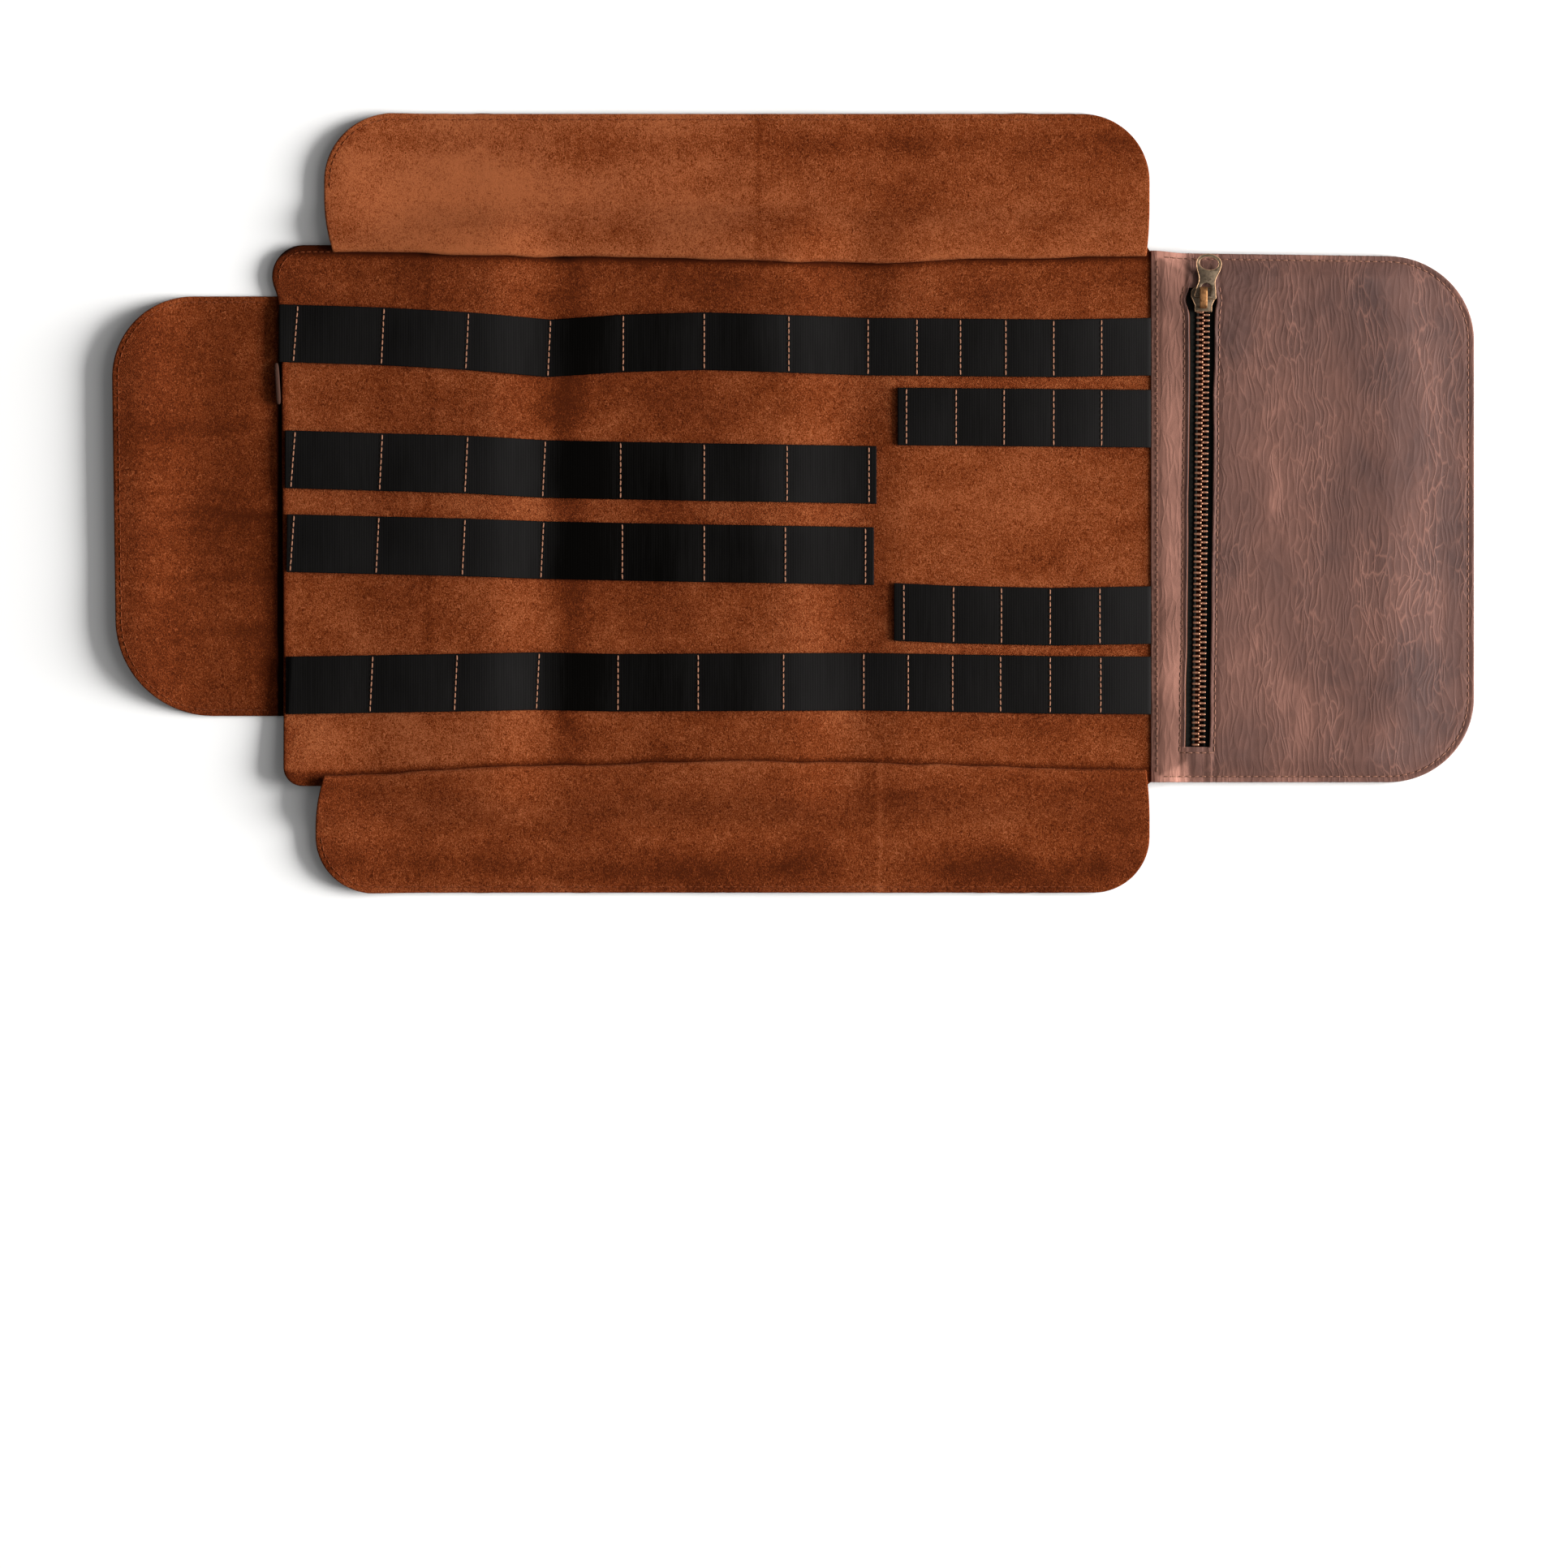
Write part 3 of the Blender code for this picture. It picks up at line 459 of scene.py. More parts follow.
def sweep(path: Array, up: Array, half_width: float, half_height: float, sides: int,
          squareness: float = 1.0) -> Solid:
    """A rod along a path, with its two ends closed by a last point.

    A section is an ellipse across the path, its cosine along the sideways direction and its sine
    along the upward one, both raised to the power of squareness.

    Args:
        path: Points that the rod's middle follows.
        up: Rough upward direction at each point or for all.
        half_width: Sideways radius.
        half_height: Upward radius.
        sides: Points in a section.
        squareness: 1 for an ellipse, towards 0 for a box.

    Returns:
        Points and faces.
    """
    along = unit(np.gradient(path, axis=0))
    sideways = unit(np.cross(np.broadcast_to(up, path.shape), along))
    upward = np.cross(along, sideways)
    turn = np.linspace(0.0, 2 * math.pi, sides, endpoint=False)
    cosine = np.sign(np.cos(turn)) * np.abs(np.cos(turn)) ** squareness * half_width
    sine = np.sign(np.sin(turn)) * np.abs(np.sin(turn)) ** squareness * half_height
    rings = (path[:, None] + sideways[:, None] * cosine[None, :, None]
             + upward[:, None] * sine[None, :, None])
    count = len(path)
    points = np.concatenate([rings.reshape(-1, 3), path[:1], path[-1:]])
    faces = ring_quads(count, sides)[:, ::-1].tolist()
    start, finish, last = count * sides, count * sides + 1, (count - 1) * sides
    for side in range(sides):
        beside = (side + 1) % sides
        faces.append([start, side, beside])
        faces.append([finish, last + beside, last + side])
    return points, faces


def joined(*shapes: Solid) -> Solid:
    """Several shapes' points and faces as one."""
    points, faces, count = [], [], 0
    for shape_points, shape_faces in shapes:
        points.append(shape_points)
        faces += [[corner + count for corner in face] for face in shape_faces]
        count += len(shape_points)
    return np.concatenate(points), faces


def plate(loops: Sequence[Array], thickness: float, bevel: float) -> Solid:
    """A flat plate cut to loops, with rounded edges, lying level about its own middle.

    Args:
        loops: Outline in metres, then its holes.
        thickness: The plate's whole thickness.
        bevel: Radius of its rounded edges.

    Returns:
        Points and faces.
    """
    curve = bpy.data.curves.new("plate", "CURVE")
    curve.dimensions = "2D"
    curve.fill_mode = "BOTH"
    curve.extrude = (thickness / 2 - bevel) / MILLIMETRE
    curve.bevel_depth = bevel / MILLIMETRE
    curve.offset = -bevel / MILLIMETRE
    curve.bevel_resolution = 1
    for loop in loops:
        spline = curve.splines.new("POLY")
        spline.points.add(len(loop) - 1)
        flat = np.zeros((len(loop), 4))
        flat[:, :2] = np.asarray(loop) / MILLIMETRE
        flat[:, 3] = 1.0
        spline.points.foreach_set("co", flat.ravel())
        spline.use_cyclic_u = True
    holder = bpy.data.objects.new("plate", curve)
    bpy.context.scene.collection.objects.link(holder)
    bpy.context.view_layer.update()
    evaluated = holder.evaluated_get(bpy.context.evaluated_depsgraph_get())
    mesh = bpy.data.meshes.new_from_object(evaluated)
    points = np.zeros(len(mesh.vertices) * 3)
    mesh.vertices.foreach_get("co", points)
    faces = [list(face.vertices) for face in mesh.polygons]
    bpy.data.objects.remove(holder, do_unlink=True)
    points = points.reshape(-1, 3)
    _, first, same = np.unique(np.round(points, 5), axis=0, return_index=True, return_inverse=True)
    same = same.ravel()
    welded = [[int(same[corner]) for corner in face] for face in faces]
    return points[first] * MILLIMETRE, [face for face in welded if len(set(face)) == len(face)]


def circle_arc(centre: tuple[float, float], radius: float, start: float, end: float, steps: int,
               flatten: float = 1.0) -> Array:
    """Points along an arc in degrees, with its second axis flattened."""
    angle = np.radians(np.linspace(start, end, steps + 1))
    across = centre[0] + radius * np.cos(angle)
    return np.stack([across, centre[1] + radius * flatten * np.sin(angle)], axis=-1)


# Finishes

class Bench:
    """Places and joins the nodes of one material or node group."""

    def __init__(self, tree: bpy.types.NodeTree) -> None:
        """Takes the tree that the nodes go into."""
        self.tree = tree

    def node(self, kind: str, inputs: dict | None = None, **settings: object) -> bpy.types.Node:
        """Adds a node.

        Args:
            kind: Its type without the words ShaderNode.
            inputs: A value or another node's output for each named or numbered input.
            **settings: Its own settings.

        Returns:
            The node.
        """
        node = self.tree.nodes.new("ShaderNode" + kind)
        for name, value in settings.items():
            setattr(node, name, value)
        for name, value in (inputs or {}).items():
            if isinstance(value, Socket):
                self.tree.links.new(value, node.inputs[name])
            else:
                node.inputs[name].default_value = value
        return node

    def join(self, value: Socket, place: Socket) -> None:
        """Joins an output to an input."""
        self.tree.links.new(value, place)

    def give(self, node: bpy.types.Node, **values: Socket) -> None:
        """Joins an output to each named input of a node."""
        for name, value in values.items():
            self.join(value, node.inputs[name.replace("_", " ")])

    def math(self, operation: str, first: object, second: object = 0.0, clamp: bool = False) -> Socket:
        """Output of a sum on one or two values."""
        return self.node("Math", {0: first, 1: second}, operation=operation, use_clamp=clamp).outputs[0]

    def plus(self, first: object, second: object, clamp: bool = False) -> Socket:
        """Two values added."""
        return self.math("ADD", first, second, clamp)

    def times(self, first: object, second: object) -> Socket:
        """Two values multiplied."""
        return self.math("MULTIPLY", first, second)

    def swing(self, pattern: Socket, gain: float) -> Socket:
        """How far a pattern is from its middle, times a gain."""
        return self.times(self.math("SUBTRACT", pattern, 0.5), gain)

    def spread(self, value: object, low: float, high: float, to_low: float = 0.0,
               to_high: float = 1.0) -> Socket:
        """A value moved evenly from one range to another and held there."""
        ends = {"Value": value, "From Min": low, "From Max": high, "To Min": to_low, "To Max": to_high}
        return self.node("MapRange", ends).outputs["Result"]

    def mix(self, share: object, first: object, second: object, blend: str = "MIX") -> Socket:
        """A colour between two, by a share or a way of blending."""
        colours = {0: share}
        for number, colour in ((6, first), (7, second)):
            is_plain = isinstance(colour, tuple) and len(colour) == 3
            colours[number] = (*colour, 1.0) if is_plain else colour
        return self.node("Mix", colours, data_type="RGBA", blend_type=blend).outputs[2]

    def place(self, scale: Sequence[float], turn: Sequence[float] = (0.0, 0.0, 0.0)) -> Socket:
        """Object coordinates, turned and scaled."""
        here = self.node("TexCoord").outputs["Object"]
        moved = {"Vector": here, "Scale": tuple(scale), "Rotation": tuple(turn)}
        return self.node("Mapping", moved).outputs["Vector"]

    def noise(self, vector: object, scale: float, detail: float = 2.0, roughness: float = 0.5,
              distortion: float = 0.0) -> Socket:
        """Value of a noise texture."""
        inputs = {"Vector": vector, "Scale": scale, "Detail": detail, "Roughness": roughness,
                  "Distortion": distortion}
        return self.node("TexNoise", inputs).outputs[0]

    def bump(self, height: object, distance: float, strength: float = 1.0,
             normal: object = None) -> Socket:
        """Normal raised by a height that spans a distance in metres."""
        inputs = {"Height": height, "Distance": distance, "Strength": strength}
        if normal is not None:
            inputs["Normal"] = normal
        return self.node("Bump", inputs).outputs["Normal"]

    def tone(self) -> Socket:
        """The piece's lighter or darker colour, from its attribute, painted light and shade included."""
        return self.node("Attribute", attribute_name="tone").outputs["Fac"]


class Effect(NamedTuple):
    """A shared node group's sockets: name and default of each input, and its outputs."""

    name: str
    inputs: dict[str, float]
    outputs: tuple[str, ...]


def start_group(effect: Effect) -> tuple[Bench, bpy.types.Node, bpy.types.Node]:
    """Opens a new node group with float sockets.

    Args:
        effect: Its name and sockets.

    Returns:
        Its bench, its input node and its output node.
    """
    tree = bpy.data.node_groups.new(effect.name, "ShaderNodeTree")
    for name, value in effect.inputs.items():
        socket = tree.interface.new_socket(name, in_out="INPUT", socket_type="NodeSocketFloat")
        socket.default_value = value
    for name in effect.outputs:
        tree.interface.new_socket(name, in_out="OUTPUT", socket_type="NodeSocketFloat")
    return Bench(tree), tree.nodes.new("NodeGroupInput"), tree.nodes.new("NodeGroupOutput")


class EffectShelf:
    """The node groups that more than one finish uses, each built once."""

    def __init__(self) -> None:
        """Builds every group."""
        self.groups = {
            "nap": self.build_nap(),
            "creases": self.build_creases(),
            "weave": self.build_weave(),
            "patina": self.build_patina(),
        }

    def use(self, bench: Bench, name: str, **values: float) -> bpy.types.Node:
        """Places a group in a material with its own values."""
        node = bench.node("Group", node_tree=self.groups[name])
        for socket, value in values.items():
            node.inputs[socket.replace("_", " ").capitalize()].default_value = value
        return node

    def build_nap(self) -> bpy.types.NodeTree:
        """Brushed fibres of suede: fine slanting specks, soft blotches and brush marks."""
        bench, given, out = start_group(Effect("nap", {"Fineness": 1.0}, ("Fibre", "Blotch", "Brush")))
        slanted = bench.place((980.0, 760.0, 860.0), (0.0, 0.0, 0.7))
        scaled = bench.node("VectorMath", {0: slanted}, operation="SCALE")
        bench.give(scaled, Scale=given.outputs["Fineness"])
        fibre = bench.noise(scaled.outputs[0], 1.0, 3.0, 0.70, 2.2)
        blotch = bench.noise(bench.place((32.0, 46.0, 40.0)), 1.0, 4.0, 0.62, 0.4)
        brush = bench.noise(bench.place((190.0, 210.0, 200.0), (0.0, 0.0, -0.5)), 1.0, 3.0, 0.60, 0.8)
        bench.give(out, Fibre=fibre, Blotch=blotch, Brush=brush)
        return bench.tree

    def build_creases(self) -> bpy.types.NodeTree:
        """Creases of pulled grain leather: long ridges along Y between the edges of drawn-out cells."""
        inputs = {"Across": 240.0, "Along": 60.0, "Wander": 0.006}
        bench, given, out = start_group(Effect("creases", inputs, ("Line", "Fine", "Swell")))
        here = bench.node("TexCoord").outputs["Object"]
        slow = bench.node("TexNoise", {"Vector": here, "Scale": 34.0, "Detail": 2.0}).outputs["Color"]
        centred = bench.node("VectorMath", {0: slow, 1: (0.5, 0.5, 0.5)}, operation="SUBTRACT").outputs[0]
        shift = bench.node("VectorMath", {0: centred}, operation="SCALE")
        bench.give(shift, Scale=given.outputs["Wander"])
        bent = bench.node("VectorMath", {0: here, 1: shift.outputs[0]}, operation="ADD").outputs[0]
        scale = bench.node("CombineXYZ")
        across, along = given.outputs["Across"], given.outputs["Along"]
        bench.give(scale, X=across, Y=along, Z=along)
        drawn = bench.node("VectorMath", {0: bent, 1: scale.outputs[0]}, operation="MULTIPLY").outputs[0]
        middle = bench.math("SUBTRACT", bench.noise(drawn, 0.60, 1.0, 0.4), 0.5)
        fold = self.ridge(bench, bench.math("ABSOLUTE", middle), 0.022, 2.0)
        jitter = bench.node("TexNoise", {"Vector": drawn, "Scale": 0.8, "Detail": 0.5}).outputs["Color"]
        lessened = bench.node("VectorMath", {0: jitter, "Scale": 1.1}, operation="SCALE").outputs[0]
        shaken = bench.node("VectorMath", {0: drawn, 1: lessened}, operation="ADD").outputs[0]
        cell, small = (bench.node("TexVoronoi", {"Vector": shaken, "Scale": scale}, voronoi_dimensions="2D",
                                  feature="DISTANCE_TO_EDGE").outputs["Distance"] for scale in (1.0, 2.3))
        where = bench.spread(bench.noise(drawn, 0.20, 2.0, 0.5), 0.42, 0.64, 0.12, 1.0)
        border = bench.times(self.ridge(bench, cell, 0.11, 1.3), where)
        line = bench.math("MAXIMUM", bench.times(fold, where), border)
        fine = bench.times(self.ridge(bench, small, 0.12, 1.5), where)
        swell = bench.plus(bench.spread(cell, 0.0, 0.30, 0.5, 0.0), bench.noise(drawn, 0.3, 1.0, 0.5))
        bench.give(out, Line=line, Fine=fine, Swell=swell)
        return bench.tree

    def ridge(self, bench: Bench, distance: Socket, reach: float, power: float) -> Socket:
        """Ridge from 1 at no distance to 0 at its reach, sharpened by a power."""
        return bench.math("POWER", bench.spread(distance, 0.0, reach, 1.0, 0.0), power)

    def build_weave(self) -> bpy.types.NodeTree:
        """Ribs of woven tape: close ribs in one direction crossed by finer threads."""
        inputs = {"Rib": 1400.0, "Thread": 3000.0}
        bench, given, out = start_group(Effect("weave", inputs, ("Rib", "Thread", "Streak")))
        parts = bench.node("SeparateXYZ", {0: bench.node("TexCoord").outputs["Object"]})
        for name, axis in (("Rib", "X"), ("Thread", "Y")):
            angle = bench.times(parts.outputs[axis], given.outputs[name])
            wave = bench.math("SINE", bench.times(angle, 2.0 * math.pi))
            bench.join(bench.spread(wave, -1.0, 1.0), out.inputs[name])
        bench.give(out, Streak=bench.noise(bench.place((700.0, 45.0, 300.0)), 1.0, 3.0, 0.6))
        return bench.tree

    def build_patina(self) -> bpy.types.NodeTree:
        """Tarnish and scuffs of old metal."""
        bench, given, out = start_group(Effect("patina", {"Scale": 900.0}, ("Tarnish", "Grit")))
        here = bench.node("TexCoord").outputs["Object"]
        tarnish = bench.noise(here, 1.0, 4.0, 0.65, 0.5)
        bench.give(tarnish.node, Scale=given.outputs["Scale"])
        bench.give(out, Tarnish=tarnish, Grit=bench.noise(here, 6000.0, 2.0, 0.6))
        return bench.tree


def start_material(name: str, roughness: float, metallic: float = 0.0, specular: float = 0.5,
                   sheen: float = 0.0) -> tuple[Material, Bench, bpy.types.Node]:
    """Opens a material with its constant values set on the shader itself.

    Args:
        name: The finish's name.
        roughness: Roughness before any pattern.
        metallic: 1 for metal.
        specular: Strength of reflections.
        sheen: Soft glow of fibres.

    Returns:
        The material, its bench and its shader.
    """
    material = bpy.data.materials.new(name)
    material.use_nodes = True
    shader = material.node_tree.nodes["Principled BSDF"]
    shader.inputs["Roughness"].default_value = roughness
    shader.inputs["Metallic"].default_value = metallic
    shader.inputs["Specular IOR Level"].default_value = specular
    shader.inputs["Sheen Weight"].default_value = sheen
    shader.inputs["Sheen Roughness"].default_value = 0.6
    return material, Bench(material.node_tree), shader


@dataclass(frozen=True)
class SuedeFinish:
    """Brushed suede, which darkens and lightens with the lie of its nap and with the painted light and shade
    of each piece's tone; the lowest tones turn black as a painted crevice shadow.
    """

    name: str = "suede"
    dark: Colour = (0.048, 0.0080, 0.0017)
    middle: Colour = (0.134, 0.0258, 0.0060)
    light: Colour = (0.272, 0.0800, 0.0280)
    nap_depth: float = 0.00060

    def make(self, shelf: EffectShelf) -> Material:
        """Builds the material from the shared nap and the piece's tone."""
        material, bench, shader = start_material(self.name, 0.95, specular=0.03, sheen=0.02)
        shader.inputs["Sheen Tint"].default_value = (0.75, 0.32, 0.14, 1.0)
        nap = shelf.use(bench, "nap")
        lie = bench.plus(bench.swing(nap.outputs["Blotch"], 0.8), bench.swing(nap.outputs["Brush"], 0.45))
        lie = bench.plus(lie, bench.times(bench.tone(), 0.5))
        level = bench.plus(bench.plus(lie, bench.swing(nap.outputs["Fibre"], 3.1)), 0.5, clamp=True)
        lower = bench.mix(bench.spread(level, 0.0, 0.5), self.dark, self.middle)
        colour = bench.mix(bench.spread(level, 0.5, 1.0), lower, self.light)
        # Painted crevice shadow: the lowest tones are blended to black.
        painted_crevice_shadow = bench.spread(bench.tone(), -2.2, -1.2, 0.9, 0.0)
        soft = bench.bump(nap.outputs["Brush"], self.nap_depth * 0.8, 0.4)
        bench.give(shader, Base_Color=bench.mix(painted_crevice_shadow, colour, (0.0, 0.0, 0.0)),
                   Normal=bench.bump(nap.outputs["Fibre"], self.nap_depth, 0.8, soft))
        return material


@dataclass(frozen=True)
class GrainFinish:
    """Waxed grain leather with pulled-up colour along its creases."""

    name: str
    deep: Colour
    middle: Colour
    pulled: Colour
    across: float = 240.0
    along: float = 60.0
    wander: float = 0.006
    crease_depth: float = 0.00016
    line_share: float = 0.6
    roughness: float = 0.5

    def make(self, shelf: EffectShelf) -> Material:
        """Builds the material from the shared creases and the piece's tone."""
        material, bench, shader = start_material(self.name, self.roughness, specular=0.10)
        creases = shelf.use(bench, "creases", across=self.across, along=self.along, wander=self.wander)
        cloud = bench.noise(bench.place((26.0, 17.0, 25.0)), 1.0, 4.0, 0.6, 0.5)
        level = bench.plus(bench.spread(cloud, 0.3, 0.7, 0.0, 0.8), bench.times(bench.tone(), 0.6))
        lower = bench.mix(bench.spread(level, 0.0, 0.8), self.deep, self.middle)
        base = bench.mix(bench.spread(level, 0.8, 1.6), lower, self.pulled)
        lines = bench.times(creases.outputs["Line"], self.line_share)
        fine = bench.times(creases.outputs["Fine"], self.line_share * 0.3)
        stretched = bench.spread(bench.tone(), 1.0, 1.6, 1.0, 0.2)
        both = bench.times(bench.math("MAXIMUM", lines, fine), stretched)
        colour = bench.mix(both, base, self.pulled)
        pores = bench.noise(bench.place((2600.0, 2600.0, 2600.0)), 1.0, 2.0, 0.6)
        specks = bench.mix(pores, (0.55, 0.55, 0.55), (1.35, 1.35, 1.35))
        speckled = bench.mix(0.35, colour, specks, "MULTIPLY")
        # Roughness lowered along the creases, which wear to a shine.
        wear_and_sheen = bench.spread(both, 0.0, 1.0, self.roughness + 0.08, self.roughness - 0.08)
        relief = bench.plus(bench.times(creases.outputs["Swell"], 1.2), both)
        swell = bench.bump(relief, self.crease_depth, 0.9)
        bench.give(shader, Base_Color=speckled, Roughness=wear_and_sheen,
                   Normal=bench.bump(pores, 0.00008, 0.6, swell))
        return material


@dataclass(frozen=True)
class CutEdgeFinish:
    """Raw cut edge of the leather, with its layers of fibres."""

    name: str = "cut_edge"
    dark: Colour = (0.080, 0.022, 0.009)
    light: Colour = (0.210, 0.084, 0.045)

    def make(self, shelf: EffectShelf) -> Material:
        """Builds the material from the shared nap, drawn finer."""
        material, bench, shader = start_material(self.name, 0.85, specular=0.2)
        nap = shelf.use(bench, "nap", fineness=1.6)
        fibre = nap.outputs["Fibre"]
        level = bench.spread(bench.plus(fibre, bench.times(bench.tone(), 0.3)), 0.25, 0.75)
        bench.give(shader, Base_Color=bench.mix(level, self.dark, self.light),
                   Normal=bench.bump(fibre, 0.0003, 0.7))
        return material


@dataclass(frozen=True)
class WebbingFinish:
    """Black woven webbing or tape with close ribs."""

    name: str
    dark: Colour
    light: Colour
    rib: float
    thread: float
    depth: float = 0.00004

    def make(self, shelf: EffectShelf) -> Material:
        """Builds the material from the shared weave and the piece's tone."""
        material, bench, shader = start_material(self.name, 0.8, specular=0.02)
        weave = shelf.use(bench, "weave", rib=self.rib, thread=self.thread)
        rib, thread = weave.outputs["Rib"], weave.outputs["Thread"]
        threads = bench.times(bench.plus(rib, thread), 0.12)
        level = bench.plus(threads, bench.swing(weave.outputs["Streak"], 0.45))
        level = bench.plus(bench.plus(level, bench.times(bench.tone(), 0.5)), 0.4, clamp=True)
        relief = bench.times(rib, bench.spread(thread, 0.0, 1.0, 0.7, 1.0))
        bench.give(shader, Base_Color=bench.mix(level, self.dark, self.light),
                   Normal=bench.bump(relief, self.depth, 0.8))
        return material


@dataclass(frozen=True)
class ThreadFinish:
    """Waxed sewing thread, twisted."""

    name: str
    dark: Colour
    light: Colour
    specular: float = 0.15

    def make(self, shelf: EffectShelf) -> Material:
        """Builds the material from fine specks of the shared nap."""
        material, bench, shader = start_material(self.name, 0.6, specular=self.specular)
        nap = shelf.use(bench, "nap", fineness=1.8)
        level = bench.spread(nap.outputs["Fibre"], 0.3, 0.7)
        bench.give(shader, Base_Color=bench.mix(level, self.dark, self.light),
                   Normal=bench.bump(nap.outputs["Fibre"], 0.0002, 0.6))
        return material


@dataclass(frozen=True)
class MetalFinish:
    """Old plated metal: tarnished in patches and scuffed."""

    name: str
    tarnished: Colour
    bright: Colour
    roughness: float

    def make(self, shelf: EffectShelf) -> Material:
        """Builds the material from the shared patina."""
        material, bench, shader = start_material(self.name, self.roughness, metallic=1.0)
        patina = shelf.use(bench, "patina", scale=700.0)
        level = bench.spread(patina.outputs["Tarnish"], 0.3, 0.6)
        grit = patina.outputs["Grit"]
        rough = bench.spread(grit, 0.3, 0.7, self.roughness - 0.08, self.roughness + 0.12)
        bench.give(shader, Base_Color=bench.mix(level, self.tarnished, self.bright), Roughness=rough,
                   Normal=bench.bump(grit, 0.00004, 0.5))
        return material


class Wardrobe:
    """Every finish of the roll, made once and handed out by name."""

    def __init__(self) -> None:
        """Makes the materials."""
        shelf = EffectShelf()
        outside = {"deep": (0.034, 0.013, 0.007), "middle": (0.084, 0.037, 0.021),
                   "pulled": (0.215, 0.108, 0.062)}
        black = {"dark": (0.0009, 0.0007, 0.0005), "light": (0.0102, 0.0096, 0.0095)}
        finishes = (
            SuedeFinish(),
            GrainFinish("pocket_grain", (0.062, 0.034, 0.030), (0.128, 0.061, 0.047), (0.390, 0.184, 0.137),
                        across=400.0, along=74.0, wander=0.011, line_share=0.29, crease_depth=0.00013),
            GrainFinish("outside_grain", across=150.0, along=110.0, wander=0.016, line_share=0.5, **outside),
            GrainFinish("strap_grain", across=260.0, along=120.0, line_share=0.3, **outside),
            CutEdgeFinish(),
            # A darker copy of the cut edge for the keeper tab: painted shade on a face that meets the lamp.
            CutEdgeFinish("tab_edge_painted_shade", (0.026, 0.009, 0.005), (0.055, 0.022, 0.013)),
            WebbingFinish("elastic_web", rib=920.0, thread=2700.0, **black),
            WebbingFinish("tape_web", (0.002, 0.002, 0.002), (0.013, 0.013, 0.011), rib=500.0, thread=1600.0),
            ThreadFinish("tan_thread", (0.115, 0.047, 0.026), (0.300, 0.142, 0.084)),
            ThreadFinish("brown_thread", (0.115, 0.048, 0.031), (0.250, 0.118, 0.078)),
            ThreadFinish("suede_thread", (0.090, 0.018, 0.005), (0.190, 0.050, 0.018), 0.03),
            ThreadFinish("needle_dark", (0.030, 0.010, 0.006), (0.060, 0.022, 0.014)),
            MetalFinish("copper", (0.280, 0.120, 0.070), (0.530, 0.270, 0.170), 0.50),
            MetalFinish("aged_brass", (0.075, 0.055, 0.038), (0.190, 0.140, 0.095), 0.50),
            MetalFinish("worn_brass", (0.200, 0.115, 0.062), (0.400, 0.250, 0.150), 0.55),
            MetalFinish("bail_brass", (0.160, 0.070, 0.028), (0.360, 0.175, 0.072), 0.55),
        )
        self.made = {finish.name: finish.make(shelf) for finish in finishes}

    def get(self, *names: str) -> list[Material]:
        """Materials by name."""
        return [self.made[name] for name in names]

    @property
    def hide(self) -> list[Material]:
        """Suede above, grain below and the cut edge."""
        return self.get("suede", "outside_grain", "cut_edge")


# The roll's plan

class WaveRow(NamedTuple):
    """A ripple of the panel: a share of its length, and a share of the ripple height."""

    along: float
    height: float


class EdgeRow(NamedTuple):
    """A place on the panel's left edge: a share of its width, and a share of its bulge."""

    across: float
    shift: float


class FoldRow(NamedTuple):
    """A place on a flap's inner fold: a share of its length, and a share of its reach."""

    along: float
    reach: float


class FlapFold(NamedTuple):
    """A long flap's inner fold: its start past the crease, how far it folds in, and its line."""

    start: float
    reach: float
    rows: tuple[FoldRow, ...]


class ToneRow(NamedTuple):
    """A lighter or darker stripe: its place, its half width and how light it is."""

    place: float
    width: float
    tone: float


class PatchRow(NamedTuple):
    """A darker patch: its middle and half widths in shares of the panel, and how dark it is."""

    along: float
    across: float
    half_along: float
    half_across: float
    tone: float


def stripes(place: Array, rows: Sequence[ToneRow]) -> Array:
    """Sum of the stripes' bells at each place."""
    total = np.zeros(np.shape(place))
    for row in rows:
        total = total + row.tone * hill(place, row.place, row.width)
    return total


